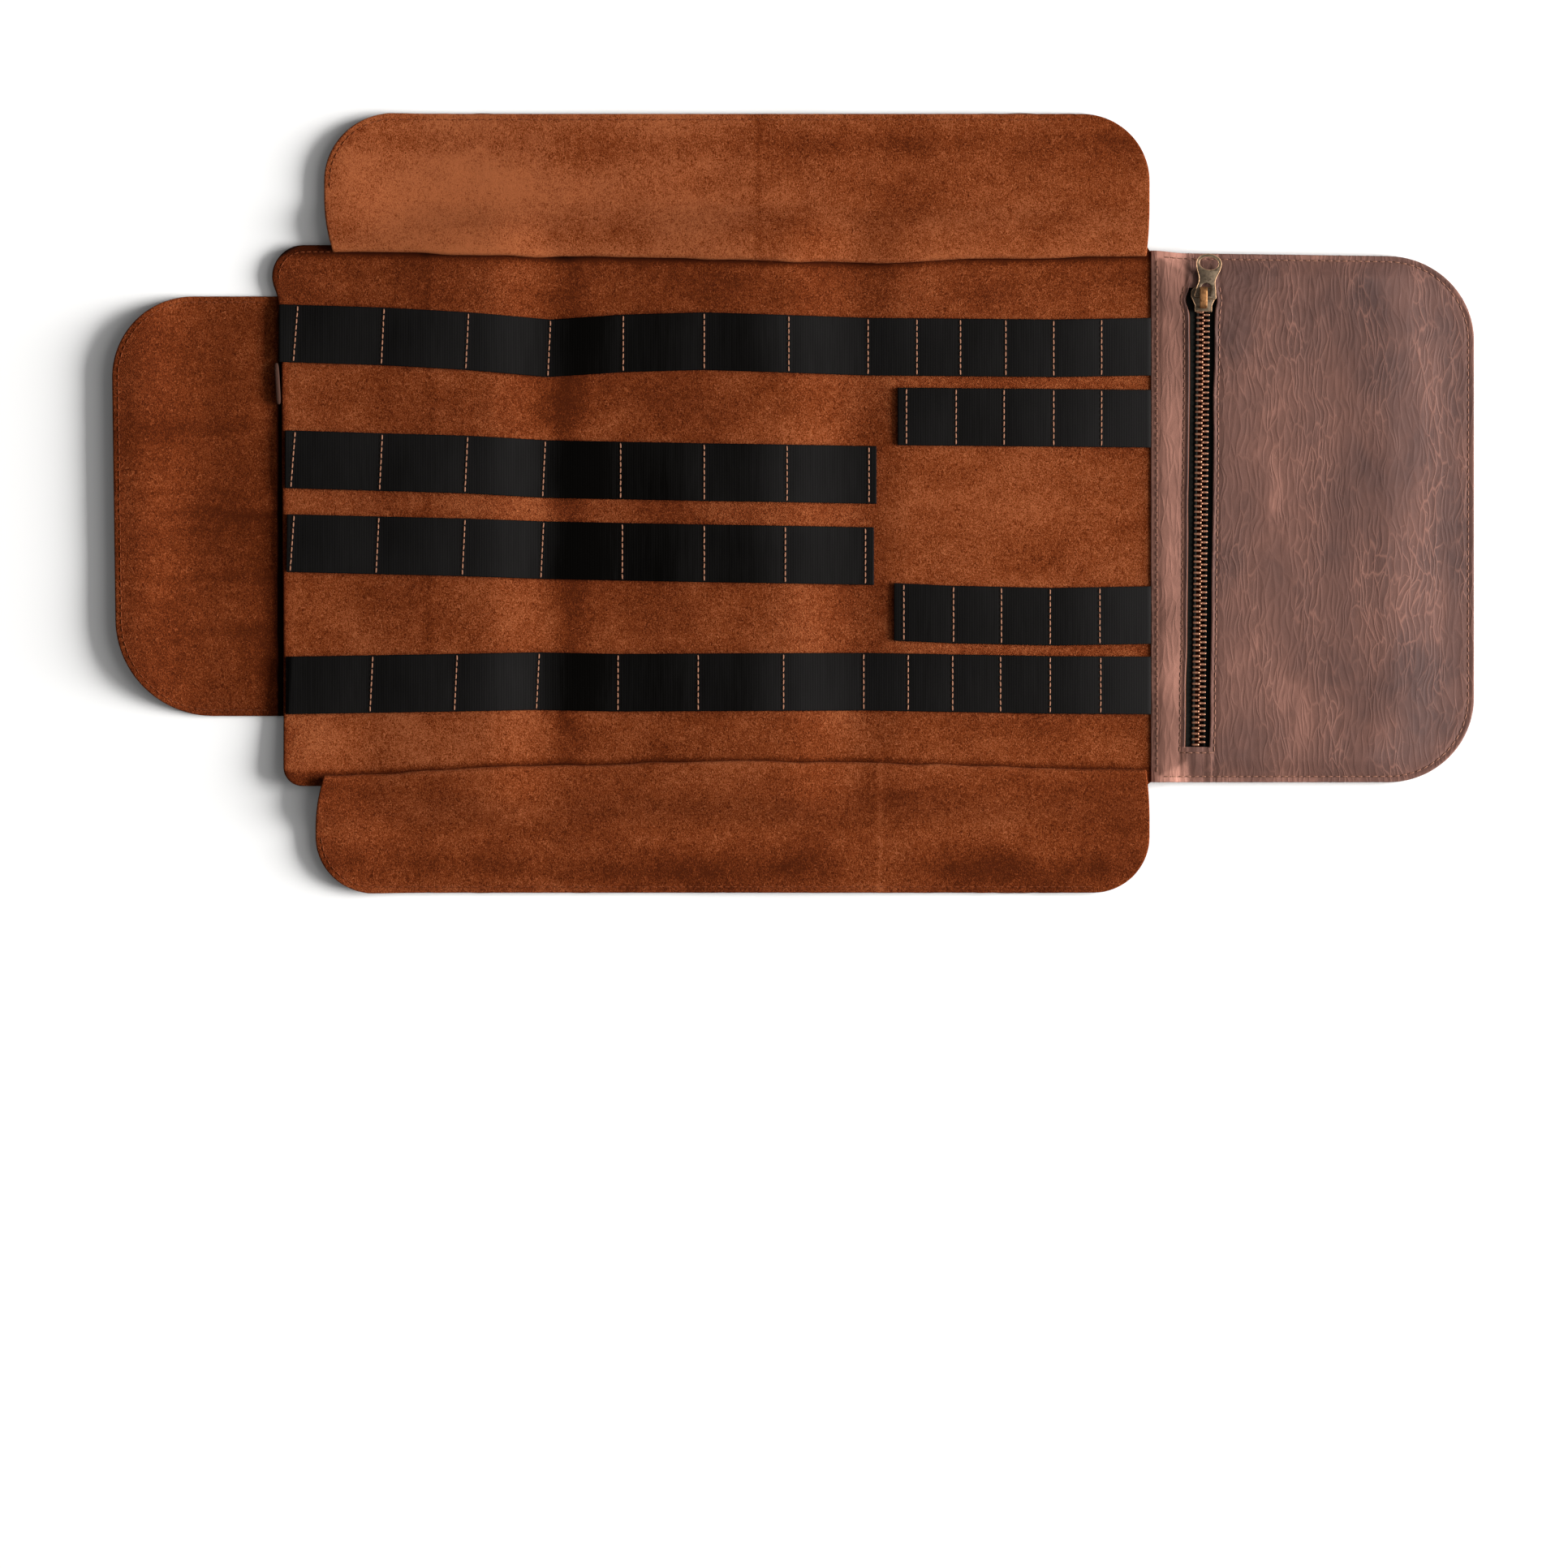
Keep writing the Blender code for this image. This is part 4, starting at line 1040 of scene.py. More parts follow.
@dataclass
class RollPlan:
    """Edges, seams and heights of the roll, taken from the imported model's boxes."""

    leather: float = 0.0016
    gap: float = 0.0003
    panel_lap: float = 0.0050
    left_lap: float = 0.0080
    wave_height: float = 0.0034
    left_rise: float = 0.0009
    corner_rise: float = 0.0036
    waves: tuple[WaveRow, ...] = (
        WaveRow(0.000, 0.00), WaveRow(0.230, 0.90), WaveRow(0.306, 0.00), WaveRow(0.570, 1.00),
        WaveRow(0.653, 0.05), WaveRow(0.720, 0.40), WaveRow(1.000, 0.00),
    )
    top_fold: FlapFold = FlapFold(0.0189, 0.0080, (
        FoldRow(0.00, 0.40), FoldRow(0.30, 0.68), FoldRow(0.67, 1.00), FoldRow(0.79, 0.77),
        FoldRow(1.00, 0.63),
    ))
    bottom_fold: FlapFold = FlapFold(0.0151, 0.0110, (
        FoldRow(0.00, 0.44), FoldRow(0.28, 0.85), FoldRow(0.49, 1.00), FoldRow(0.60, 0.96),
        FoldRow(1.00, 0.65),
    ))
    flap_clearance: float = 0.0013
    crease_x: float = field(init=False)
    spine_x: float = field(init=False)
    low_y: float = field(init=False)
    high_y: float = field(init=False)
    seat: float = field(init=False)

    def __post_init__(self) -> None:
        """Reads the panel's and the short flap's boxes."""
        low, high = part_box("main_panel")
        self.low_y, self.high_y, self.seat = low.y, high.y, self.leather + self.gap
        self.spine_x = high.x - self.panel_lap
        self.crease_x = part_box("left_flap")[1].x - self.left_lap

    @property
    def length(self) -> float:
        """From the crease to the spine."""
        return self.spine_x - self.crease_x

    @property
    def width(self) -> float:
        """From the panel's low edge to its high one."""
        return self.high_y - self.low_y

    def x_at(self, share: Array | float) -> Array | float:
        """X at a share of the panel's length."""
        return self.crease_x + share * self.length

    def y_at(self, share: Array | float) -> Array | float:
        """Y at a share of the panel's width."""
        return self.low_y + share * self.width

    def fold(self, x: Array, side: int) -> Array:
        """How far the flap at the top (+1) or bottom (-1) folds in over the panel."""
        start, reach, rows = self.top_fold if side > 0 else self.bottom_fold
        left, right = self.crease_x + start, self.spine_x - self.flap_clearance
        return reach * follow(rows, np.clip((x - left) / (right - left), 0.0, 1.0))

    def panel_under(self, x: Array, y: Array) -> Array:
        """Height of the panel's underside.

        It is the seat plus the ripples, which wander a little sideways from row to row and are
        joined by shallow dents, and a slight rise at the left edge.
        """
        wander = 0.0022 * noise(y / 0.09, y * 0.0, 3.0)
        share = (x + wander - self.crease_x) / self.length
        dents = 0.00022 * (1.0 + layered(x / 0.034, y / 0.030, 5.0))
        corner = self.corner_rise * (1.0 - smooth((y - self.low_y) / 0.060))
        start = (self.left_rise + corner) * (1.0 - smooth((x - self.crease_x) / 0.040))
        ripples = self.wave_height * follow(self.waves, share) * 0.96
        return self.seat + ripples + dents * smooth(share * 6) + start

    def panel_top(self, x: Array, y: Array) -> Array:
        """Height of the panel's suede side."""
        return self.panel_under(x, y) + self.leather


def dress(piece: bpy.types.Object, body: Body = Body.ROLL, nodes: Sequence[str] = ()) -> None:
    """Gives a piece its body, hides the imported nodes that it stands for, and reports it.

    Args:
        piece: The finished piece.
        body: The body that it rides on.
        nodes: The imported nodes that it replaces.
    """
    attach(piece, body.value)
    if nodes:
        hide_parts(*nodes)
    LOG.info("%s: %d faces on %s", piece.name, len(piece.data.polygons), body.value)


class Stitch(NamedTuple):
    """A kind of stitch: the distance from one to the next, its length and its thread."""

    pitch: float
    length: float
    thickness: float


LOOP_STITCH = Stitch(0.0027, 0.0023, 0.00075)
POCKET_STITCH = Stitch(0.0033, 0.0024, 0.0006)
MARGIN_STITCH = Stitch(0.0033, 0.0023, 0.0005)
CORNER_STITCH = Stitch(0.0027, 0.0020, 0.0005)


@dataclass
class Sewer:
    """Sews rows of stitches along lines on a surface."""

    finishes: Wardrobe
    rise: float = 0.00008

    def spaced(self, line: Array, pitch: float) -> tuple[Array, Array]:
        """Middles and directions of the stitches along a line.

        The line is cut into even steps by its length, and each stitch lies over a step.

        Args:
            line: Points along the row of stitches.
            pitch: Distance between stitches.

        Returns:
            Middles and directions.
        """
        steps = np.linalg.norm(np.diff(line, axis=0), axis=1)
        run = np.concatenate([[0.0], np.cumsum(steps)])
        count = max(int(round(run[-1] / pitch)), 1)
        marks = np.linspace(0.0, run[-1], count + 1)
        at = np.stack([np.interp(marks, run, line[:, axis]) for axis in range(3)], axis=-1)
        return (at[:-1] + at[1:]) / 2, np.diff(at, axis=0)

    def sew(self, name: str, lines: Sequence[Array], material: str, slot: Slot,
            stitch: Stitch = LOOP_STITCH, up: float = 1.0) -> None:
        """Joins all the stitches of several lines into one piece.

        Args:
            name: The piece's name.
            lines: Points along each row, on the surface.
            material: The thread.
            slot: The record's material slot; not used.
            stitch: The kind of stitch.
            up: 1 for stitches seen from above, -1 from below.
        """
        rows = [self.spaced(line, stitch.pitch) for line in lines]
        middles = np.concatenate([row[0] for row in rows])
        along = unit(np.concatenate([row[1] for row in rows]))
        upward = np.zeros_like(along)
        upward[:, 2] = up
        uneven = chance(np.arange(len(along)), np.zeros(len(along)), 2.0)[:, None] - 0.5
        along = along + np.cross(upward, along) * 0.16 * uneven
        middles = middles + upward * self.rise
        shape, faces = lump(stitch.length, stitch.thickness, stitch.thickness * 0.8, 5, 6, 0.75)
        piece = Placing(middles, along, upward).put(name, shape, faces, self.finishes.get(material)[0])
        dress(piece)

    def prick(self, name: str, lines: Sequence[Array], slot: Slot, pitch: float) -> None:
        """Dark needle holes between the stitches of the same lines."""
        spots, ways = [], []
        for line in lines:
            middles, along = self.spaced(line, pitch)
            spots.append(middles[:-1] + along[:-1] / 2)
            ways.append(along[:-1])
        middles = np.concatenate(spots)
        upward = np.zeros_like(middles)
        upward[:, 2] = 1.0
        shape, faces = lump(0.0007, 0.0007, 0.00022, 2, 6)
        piece = Placing(middles, np.concatenate(ways), upward).put(
            name, shape, faces, self.finishes.get("needle_dark")[0])
        dress(piece)


@dataclass
class MainPanel:
    """The big suede sheet that carries the loops."""

    plan: RollPlan
    finishes: Wardrobe
    sewer: Sewer
    spacing: float = 0.0016
    bulge: float = 0.0042
    top_radius: float = 0.0140
    bottom_radius: float = 0.0085
    left_edge: tuple[EdgeRow, ...] = (
        EdgeRow(0.000, 0.22), EdgeRow(0.130, 0.22), EdgeRow(0.820, 0.00), EdgeRow(0.895, -0.38),
        EdgeRow(0.940, -1.00), EdgeRow(1.000, -1.00),
    )
    # Darker stripes on the ripples' valleys and on the slopes that face away from the lamp: painted shade.
    marks: tuple[ToneRow, ...] = (
        ToneRow(0.168, 0.005, -0.30), ToneRow(0.330, 0.018, -0.65), ToneRow(0.684, 0.018, -0.20),
        ToneRow(0.120, 0.110, -0.10), ToneRow(0.440, 0.060, -0.30),
    )
    patches: tuple[PatchRow, ...] = (
        PatchRow(0.30, 0.72, 0.075, 0.07, -0.50), PatchRow(0.50, 0.72, 0.12, 0.07, -0.25),
        PatchRow(0.36, 0.33, 0.06, 0.08, -0.32),
    )
    stitch_inset: float = 0.0030

    def left_x(self, y: Array) -> Array:
        """Left edge: the crease, bulged by its table and drawn in at the round corners."""
        plan = self.plan
        edge = plan.crease_x + self.bulge * follow(self.left_edge, (y - plan.low_y) / plan.width)
        return (edge + corner_inset(plan.high_y - y, self.top_radius)
                + corner_inset(y - plan.low_y, self.bottom_radius))

    def tone(self, x: Array, y: Array) -> Array:
        """Painted shade in stripes on the ripples' valleys and slopes, patches between the bands, slow
        lighter and darker regions, and painted shadow under the flaps' folds and along the left edge.
        """
        plan = self.plan
        share = (x + 0.004 * layered(x / 0.05, y / 0.04, 8.0) - plan.crease_x) / plan.length
        patches = 0.30 * layered(x / 0.030, y / 0.024, 9.0)
        to_top = plan.high_y - plan.fold(x, 1) - y
        to_bottom = y - plan.low_y - plan.fold(x, -1)
        # Painted shadow beside the inner folds of the top and bottom flaps.
        under = hill(np.maximum(to_top, 0.0), 0.0, 0.0022)
        under = under + 0.8 * hill(np.maximum(to_bottom, 0.0), 0.0, 0.0018)
        # Painted shade in the crevice along the panel's left edge.
        edge = hill(x - self.left_x(y), 0.0, 0.0016)
        height = (y - plan.low_y) / plan.width
        left = 1.0 - smooth((share - 0.10) / 0.40)
        slow = 0.45 * (1.0 - smooth(height / 0.42)) * left - 0.40 * smooth((height - 0.80) / 0.10) * left
        slow = slow - 0.28 * smooth((height - 0.84) / 0.08) * (1.0 - left)
        for row in self.patches:
            slow = slow + row.tone * hill(share, row.along, row.half_along) * hill(
                height, row.across, row.half_across)
        return stripes(share, self.marks) + patches + slow - 1.2 * under - 0.9 * edge

    def build(self) -> None:
        """Makes the sheet and the faint stitches near its left edge."""
        plan = self.plan
        rows = edged_range(plan.low_y, plan.high_y, self.spacing, (self.bottom_radius, self.top_radius))
        columns = edged_range(0.0, plan.length + plan.panel_lap, self.spacing, (0.0, 0.0))
        y = np.repeat(rows[:, None], len(columns), axis=1)
        left = self.left_x(y)
        right = plan.spine_x + plan.panel_lap
        x = left + (right - left) * columns[None, :] / columns[-1]
        edge = np.minimum(np.minimum(x - left, plan.high_y - y), y - plan.low_y)
        under, roll = plan.panel_under(x, y), rolled(np.maximum(edge, 0.0))
        tucked = smooth((x - plan.spine_x + 0.0022) / 0.0016)
        lap_low, lap_high = plan.low_y + 0.0024, plan.high_y - 0.0042
        lap_y = lap_low + (y - plan.low_y) / plan.width * (lap_high - lap_low)
        y = y + (lap_y - y) * tucked
        sheet = put_sheet("panel_leather", x, y, under + plan.leather - roll, under + roll * 0.3,
                          self.finishes.hide, self.tone(x, y))
        dress(sheet, nodes=["main_panel"])
        self.sew_margin()

    def sew_margin(self) -> None:
        """A row of stitches just inside the round corner at the top left."""
        plan = self.plan
        radius = self.top_radius - self.stitch_inset
        centre = (plan.crease_x - self.bulge + self.top_radius, plan.high_y - self.top_radius)
        arc = circle_arc(centre, radius, 188, 90, 40)
        run = np.linspace(centre[0], centre[0] + 0.012, 12)[1:]
        flat = np.concatenate([arc, level(run, centre[1] + radius)])
        line = np.concatenate([flat, plan.panel_top(flat[:, 0], flat[:, 1])[:, None]], axis=1)
        self.sewer.sew("panel_edge_stitches", [line], "suede_thread", Slot.SUEDE, CORNER_STITCH)


@dataclass
class LongFlap:
    """A long flap sewn along an edge of the panel and folded outwards over its margin."""

    plan: RollPlan
    finishes: Wardrobe
    node: str
    side: int
    sewer: Sewer
    radius: float
    marks: tuple[ToneRow, ...]
    spacing: float = 0.0016
    fold_radius: float = 0.00115
    slope_run: float = 0.0200
    lift: float = 0.0012
    end_lift: float = 0.0045
    left_draw: float = 0.0040
    right_draw: float = 0.0016
    draw_run: float = 0.0250
    stitch_inset: float = 0.0026

    def profile(self, x: Array) -> tuple[Array, Array, Array]:
        """Middle line of the folded part, for each X.

        The line starts on the panel's edge, runs inwards on the panel, turns over in a half circle
        and slopes down to the floor beyond the edge.

        Args:
            x: Places along the flap.

        Returns:
            Distance beyond the panel's edge and height, a row for each step, and the fold's reach.
        """
        plan = self.plan
        fold = plan.fold(x, self.side)
        ripple = 0.0004 * noise(x / 0.013, x * 0.0, 21.0 + self.side)
        turn = fold + ripple - plan.leather / 2 - self.fold_radius
        margin = self.edge_y - self.side * fold / 2
        leg = plan.panel_top(x, np.full_like(x, margin)) + plan.gap + plan.leather / 2
        angle = np.linspace(0.0, math.pi, 13)[:, None]
        start_out, start_z = np.zeros((1, len(x))), leg[None, :]
        bend_out = -turn[None, :] - self.fold_radius * np.sin(angle)
        bend_z = leg[None, :] + self.fold_radius * (1.0 - np.cos(angle))
        over = leg + 2 * self.fold_radius
        step = np.linspace(0.0, 1.0, 15)[:, None]
        slope_out = plan.leather + step * self.slope_run + 0.0 * x[None, :]
        slope_z = over[None, :] + (plan.leather / 2 - over[None, :]) * smooth(step)
        out = np.concatenate([start_out, bend_out, slope_out])
        height = np.concatenate([start_z, bend_z, slope_z])
        return out, height, fold

    def tone(self, x: Array, out: Array, fold: Array) -> Array:
        """Stripes across the flap, soft patches, a painted highlight along the fold and a darker band beyond
        it.
        """
        patches = 0.5 * layered(x / 0.045, out / 0.020, 31.0 + self.side)
        # Painted highlight along the rolled inner fold.
        wear_and_sheen = 0.30 * hill(out, -fold + 0.001, 0.0025)
        return stripes(x, self.marks) + patches + wear_and_sheen - 0.35 * hill(out, self.reach * 0.78, 0.006)

    def build(self) -> None:
        """Makes the whole flap as one bent sheet."""
        plan = self.plan
        low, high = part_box(self.node)
        self.left = plan.crease_x + (plan.top_fold if self.side > 0 else plan.bottom_fold).start
        self.right = high.x
        self.edge_y = plan.high_y if self.side > 0 else plan.low_y
        self.reach = high.y - plan.high_y if self.side > 0 else plan.low_y - low.y
        stations = edged_range(self.left, self.right, self.spacing, (0.0, 0.0))
        out, height, fold = self.profile(stations)
        flat_start = plan.leather + self.slope_run
        depths = edged_range(0.0, self.reach - flat_start, self.spacing, (0.0, self.radius))
        outer = np.repeat((flat_start + depths[1:])[:, None], len(stations), axis=1)
        out = np.concatenate([out, outer])
        height = np.concatenate([height, np.full_like(outer, plan.leather / 2)])
        share = (stations - self.left) / (self.right - self.left)
        inset = corner_inset(self.reach - out, self.radius)
        drawn = (1.0 - np.clip((out + fold[None, :]) / self.draw_run, 0.0, 1.0)) ** 2
        from_left, from_right = inset + self.left_draw * drawn, inset + self.right_draw * drawn
        x = self.left + from_left + (self.right - self.left - from_left - from_right) * share[None, :]
        free = smooth((out - plan.leather - self.slope_run * 0.4) / 0.020)
        wavy = 1.0 + layered(x / 0.075, out / 0.060, 33.0 + self.side, 2)
        dents = 0.00035 * (1.0 + layered(x / 0.018, out / 0.016, 35.0 + self.side, 2))
        ends = smooth((self.left + 0.060 - x) / 0.060) ** 2
        height = height + free * (self.lift * 0.5 * wavy + dents) * (1.0 - ends)
        height = height + self.end_lift * ends * smooth(out / 0.016)
        run_out, run_up = np.gradient(out, axis=0), np.gradient(height, axis=0)
        size = np.hypot(run_out, run_up)
        normal_out, normal_up = -run_up / size, run_out / size
        beside = np.minimum(share, 1.0 - share)[None, :] * (self.right - self.left)
        box = (self.left, self.right, -1.0, self.reach)
        edge = np.minimum(inside_distance(x, out, box, (0.0, 0.0, self.radius, self.radius)), beside)
        roll = rolled(edge)
        half = plan.leather / 2
        above, beneath = half - roll, -(half - roll * 0.3)
        top = self.points(x, out + normal_out * above, height + normal_up * above)
        bottom = self.points(x, out + normal_out * beneath, height + normal_up * beneath)
        quads = grid_quads(*x.shape)
        net = quads if self.side > 0 else quads[:, ::-1]
        sheet = put_wall(self.node + "_leather", top, bottom, net, self.finishes.hide,
                         self.tone(x, out, fold[None, :]).ravel())
        dress(sheet, nodes=[self.node])
        self.sew_margin(x, out, height)

    def sew_margin(self, x: Array, out: Array, height: Array) -> None:
        """A faint row of stitches inside the flap's free edges.

        It runs out beside the left end, round the corner and along the outer edge.

        Args:
            x: X of the flap's grid.
            out: Distance beyond the panel's edge of its grid.
            height: Height of its middle line.
        """
        inset = self.stitch_inset
        radius = self.radius - inset
        centre = (self.left + self.radius, self.reach - self.radius)
        down = np.linspace(self.draw_run, centre[1], 20)
        arc = circle_arc(centre, radius, 180, 90, 40)
        along = np.linspace(centre[0], self.right - self.radius, 200)
        flat = np.concatenate([upright(self.left + inset, down), arc[1:-1],
                               level(along, self.reach - inset)])
        top = heights_at(flat, x, out, height) + self.plan.leather / 2
        line = self.points(flat[:, 0], flat[:, 1], top)
        self.sewer.sew(self.node + "_stitches", [line], "suede_thread", Slot.SUEDE, MARGIN_STITCH)

    def points(self, x: Array, out: Array, height: Array) -> Array:
        """Places in space from X, the distance beyond the edge and the height."""
        y = self.edge_y + self.side * out
        return np.stack([x, y, np.maximum(height, 0.0)], axis=-1).reshape(-1, 3)


@dataclass
class ShortFlap:
    """The short flap at the left, lapped under the panel, with the keeper tab in its crease."""

    plan: RollPlan
    finishes: Wardrobe
    sewer: Sewer
    spacing: float = 0.0015
    top_radius: float = 0.0360
    bottom_radius: float = 0.0425
    lean: float = 0.0025
    crevice_width: float = 0.0022
    edge_lift: float = 0.0058
    tab_height: float = 0.0034
    stitch_inset: float = 0.0026
    # Darker horizontal creases: painted shade, with shallow grooves in the mesh.
    creases: tuple[ToneRow, ...] = (
        ToneRow(0.0335, 0.0030, -0.50), ToneRow(0.0045, 0.0026, -0.45), ToneRow(-0.0050, 0.0030, -0.60),
        ToneRow(-0.0335, 0.0028, -0.50), ToneRow(-0.0576, 0.0030, -0.45),
    )

    def build(self) -> None:
        """Makes the flap and the tab."""
        plan = self.plan
        low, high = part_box("left_flap")
        rows = edged_range(low.y, high.y, self.spacing, (self.bottom_radius, self.top_radius))
        reach = high.x - low.x
        columns = edged_range(0.0, reach, self.spacing, (0.0, 0.0))
        y = np.repeat(rows[:, None], len(columns), axis=1)
        lean = self.lean * np.maximum(high.y - self.top_radius - y, 0.0) / (high.y - low.y)
        left = (low.x + lean + corner_inset(high.y - y, self.top_radius)
                + corner_inset(y - low.y, self.bottom_radius))
        x = left + (high.x - left) * columns[None, :] / reach
        beyond = smooth((plan.crease_x - 0.004 - x) / 0.012)
        grooves = stripes(y + 0.0015 * noise(x / 0.02, y / 0.03, 41.0), self.creases)
        fading = 0.5 + 0.5 * smooth((x - low.x - 0.006) / 0.03)
        relief = 0.0004 * (1.0 + grooves * fading) + 0.00025 * (1.0 + layered(x / 0.026, y / 0.020, 43.0))
        lift = self.edge_lift * smooth((high.x - 0.030 - x) / 0.045) ** 2
        under = relief * beyond + lift
        box = (low.x, high.x + 0.1, low.y, high.y)
        edge = inside_distance(x - lean, y, box, (self.bottom_radius, 0.0, self.top_radius, 0.0))
        roll = rolled(edge)
        # Painted crevice shadow beside the panel's edge, which the suede turns black.
        crevice = smooth((x - plan.crease_x + self.crevice_width) / 0.0014)
        soft = smooth((-y - 0.010) / 0.050) * smooth((x - plan.crease_x + 0.024) / 0.022)
        # Tone: painted shade in the creases, random changes, darker overall and low by the crease, painted
        # light on the flap's top near the crease, and the painted crevice shadow.
        tone = (0.60 * grooves * fading + 0.20 * layered(x / 0.040, y / 0.030, 45.0) - 0.46
                + 0.35 * smooth((x - plan.crease_x + 0.030) / 0.020) * smooth(y / 0.04)
                - 2.6 * crevice - 0.5 * soft)
        sheet = put_sheet("left_flap_leather", x, y, under + plan.leather - roll, under + roll * 0.3,
                          self.finishes.hide, tone)
        dress(sheet, nodes=["left_flap"])
        self.sew_margin(x, y, under)
        self.build_tab()

    def sew_margin(self, x: Array, y: Array, under: Array) -> None:
        """A faint row of stitches inside the flap's round outline.

        Args:
            x: X of the flap's grid.
            y: Y of its grid.
            under: Height of its underside.
        """
        low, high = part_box("left_flap")
        inset, top, bottom = self.stitch_inset, self.top_radius, self.bottom_radius
        run = np.linspace(self.plan.crease_x - 0.008, low.x + top, 20)
        down = np.linspace(high.y - top, low.y + bottom, 60)
        back = np.linspace(low.x + bottom, self.plan.crease_x - 0.008, 20)
        flat = np.concatenate([
            level(run, high.y - inset),
            circle_arc((low.x + top, high.y - top), top - inset, 90, 180, 40)[1:-1],
            upright(low.x + inset, down),
            circle_arc((low.x + bottom, low.y + bottom), bottom - inset, 180, 270, 40)[1:-1],
            level(back, low.y + inset),
        ])
        flat[:, 0] += self.lean * np.maximum(high.y - top - flat[:, 1], 0.0) / (high.y - low.y)
        height = heights_at(flat, x, y, under) + self.plan.leather
        line = np.concatenate([flat, height[:, None]], axis=1)
        self.sewer.sew("left_flap_stitches", [line], "suede_thread", Slot.SUEDE, MARGIN_STITCH)

    def build_tab(self) -> None:
        """Keeper tab: a boxy lump standing edge-on in the crease, slightly slanted."""
        low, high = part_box("keeper_tab")
        size = high - low
        middle = np.array([(low.x + high.x, low.y + high.y, 2 * low.z + self.tab_height)]) / 2
        shape, faces = lump(size.y, size.x * 0.85, self.tab_height, 16, 20, 0.42)
        tilt = np.array([[-0.06, 1.0, 0.0]])
        tab = Placing(middle, tilt, np.array([[0.0, 0.0, 1.0]])).put(
            "keeper_tab_leather", shape, faces, self.finishes.get("tab_edge_painted_shade")[0])
        dress(tab, nodes=["keeper_tab"])


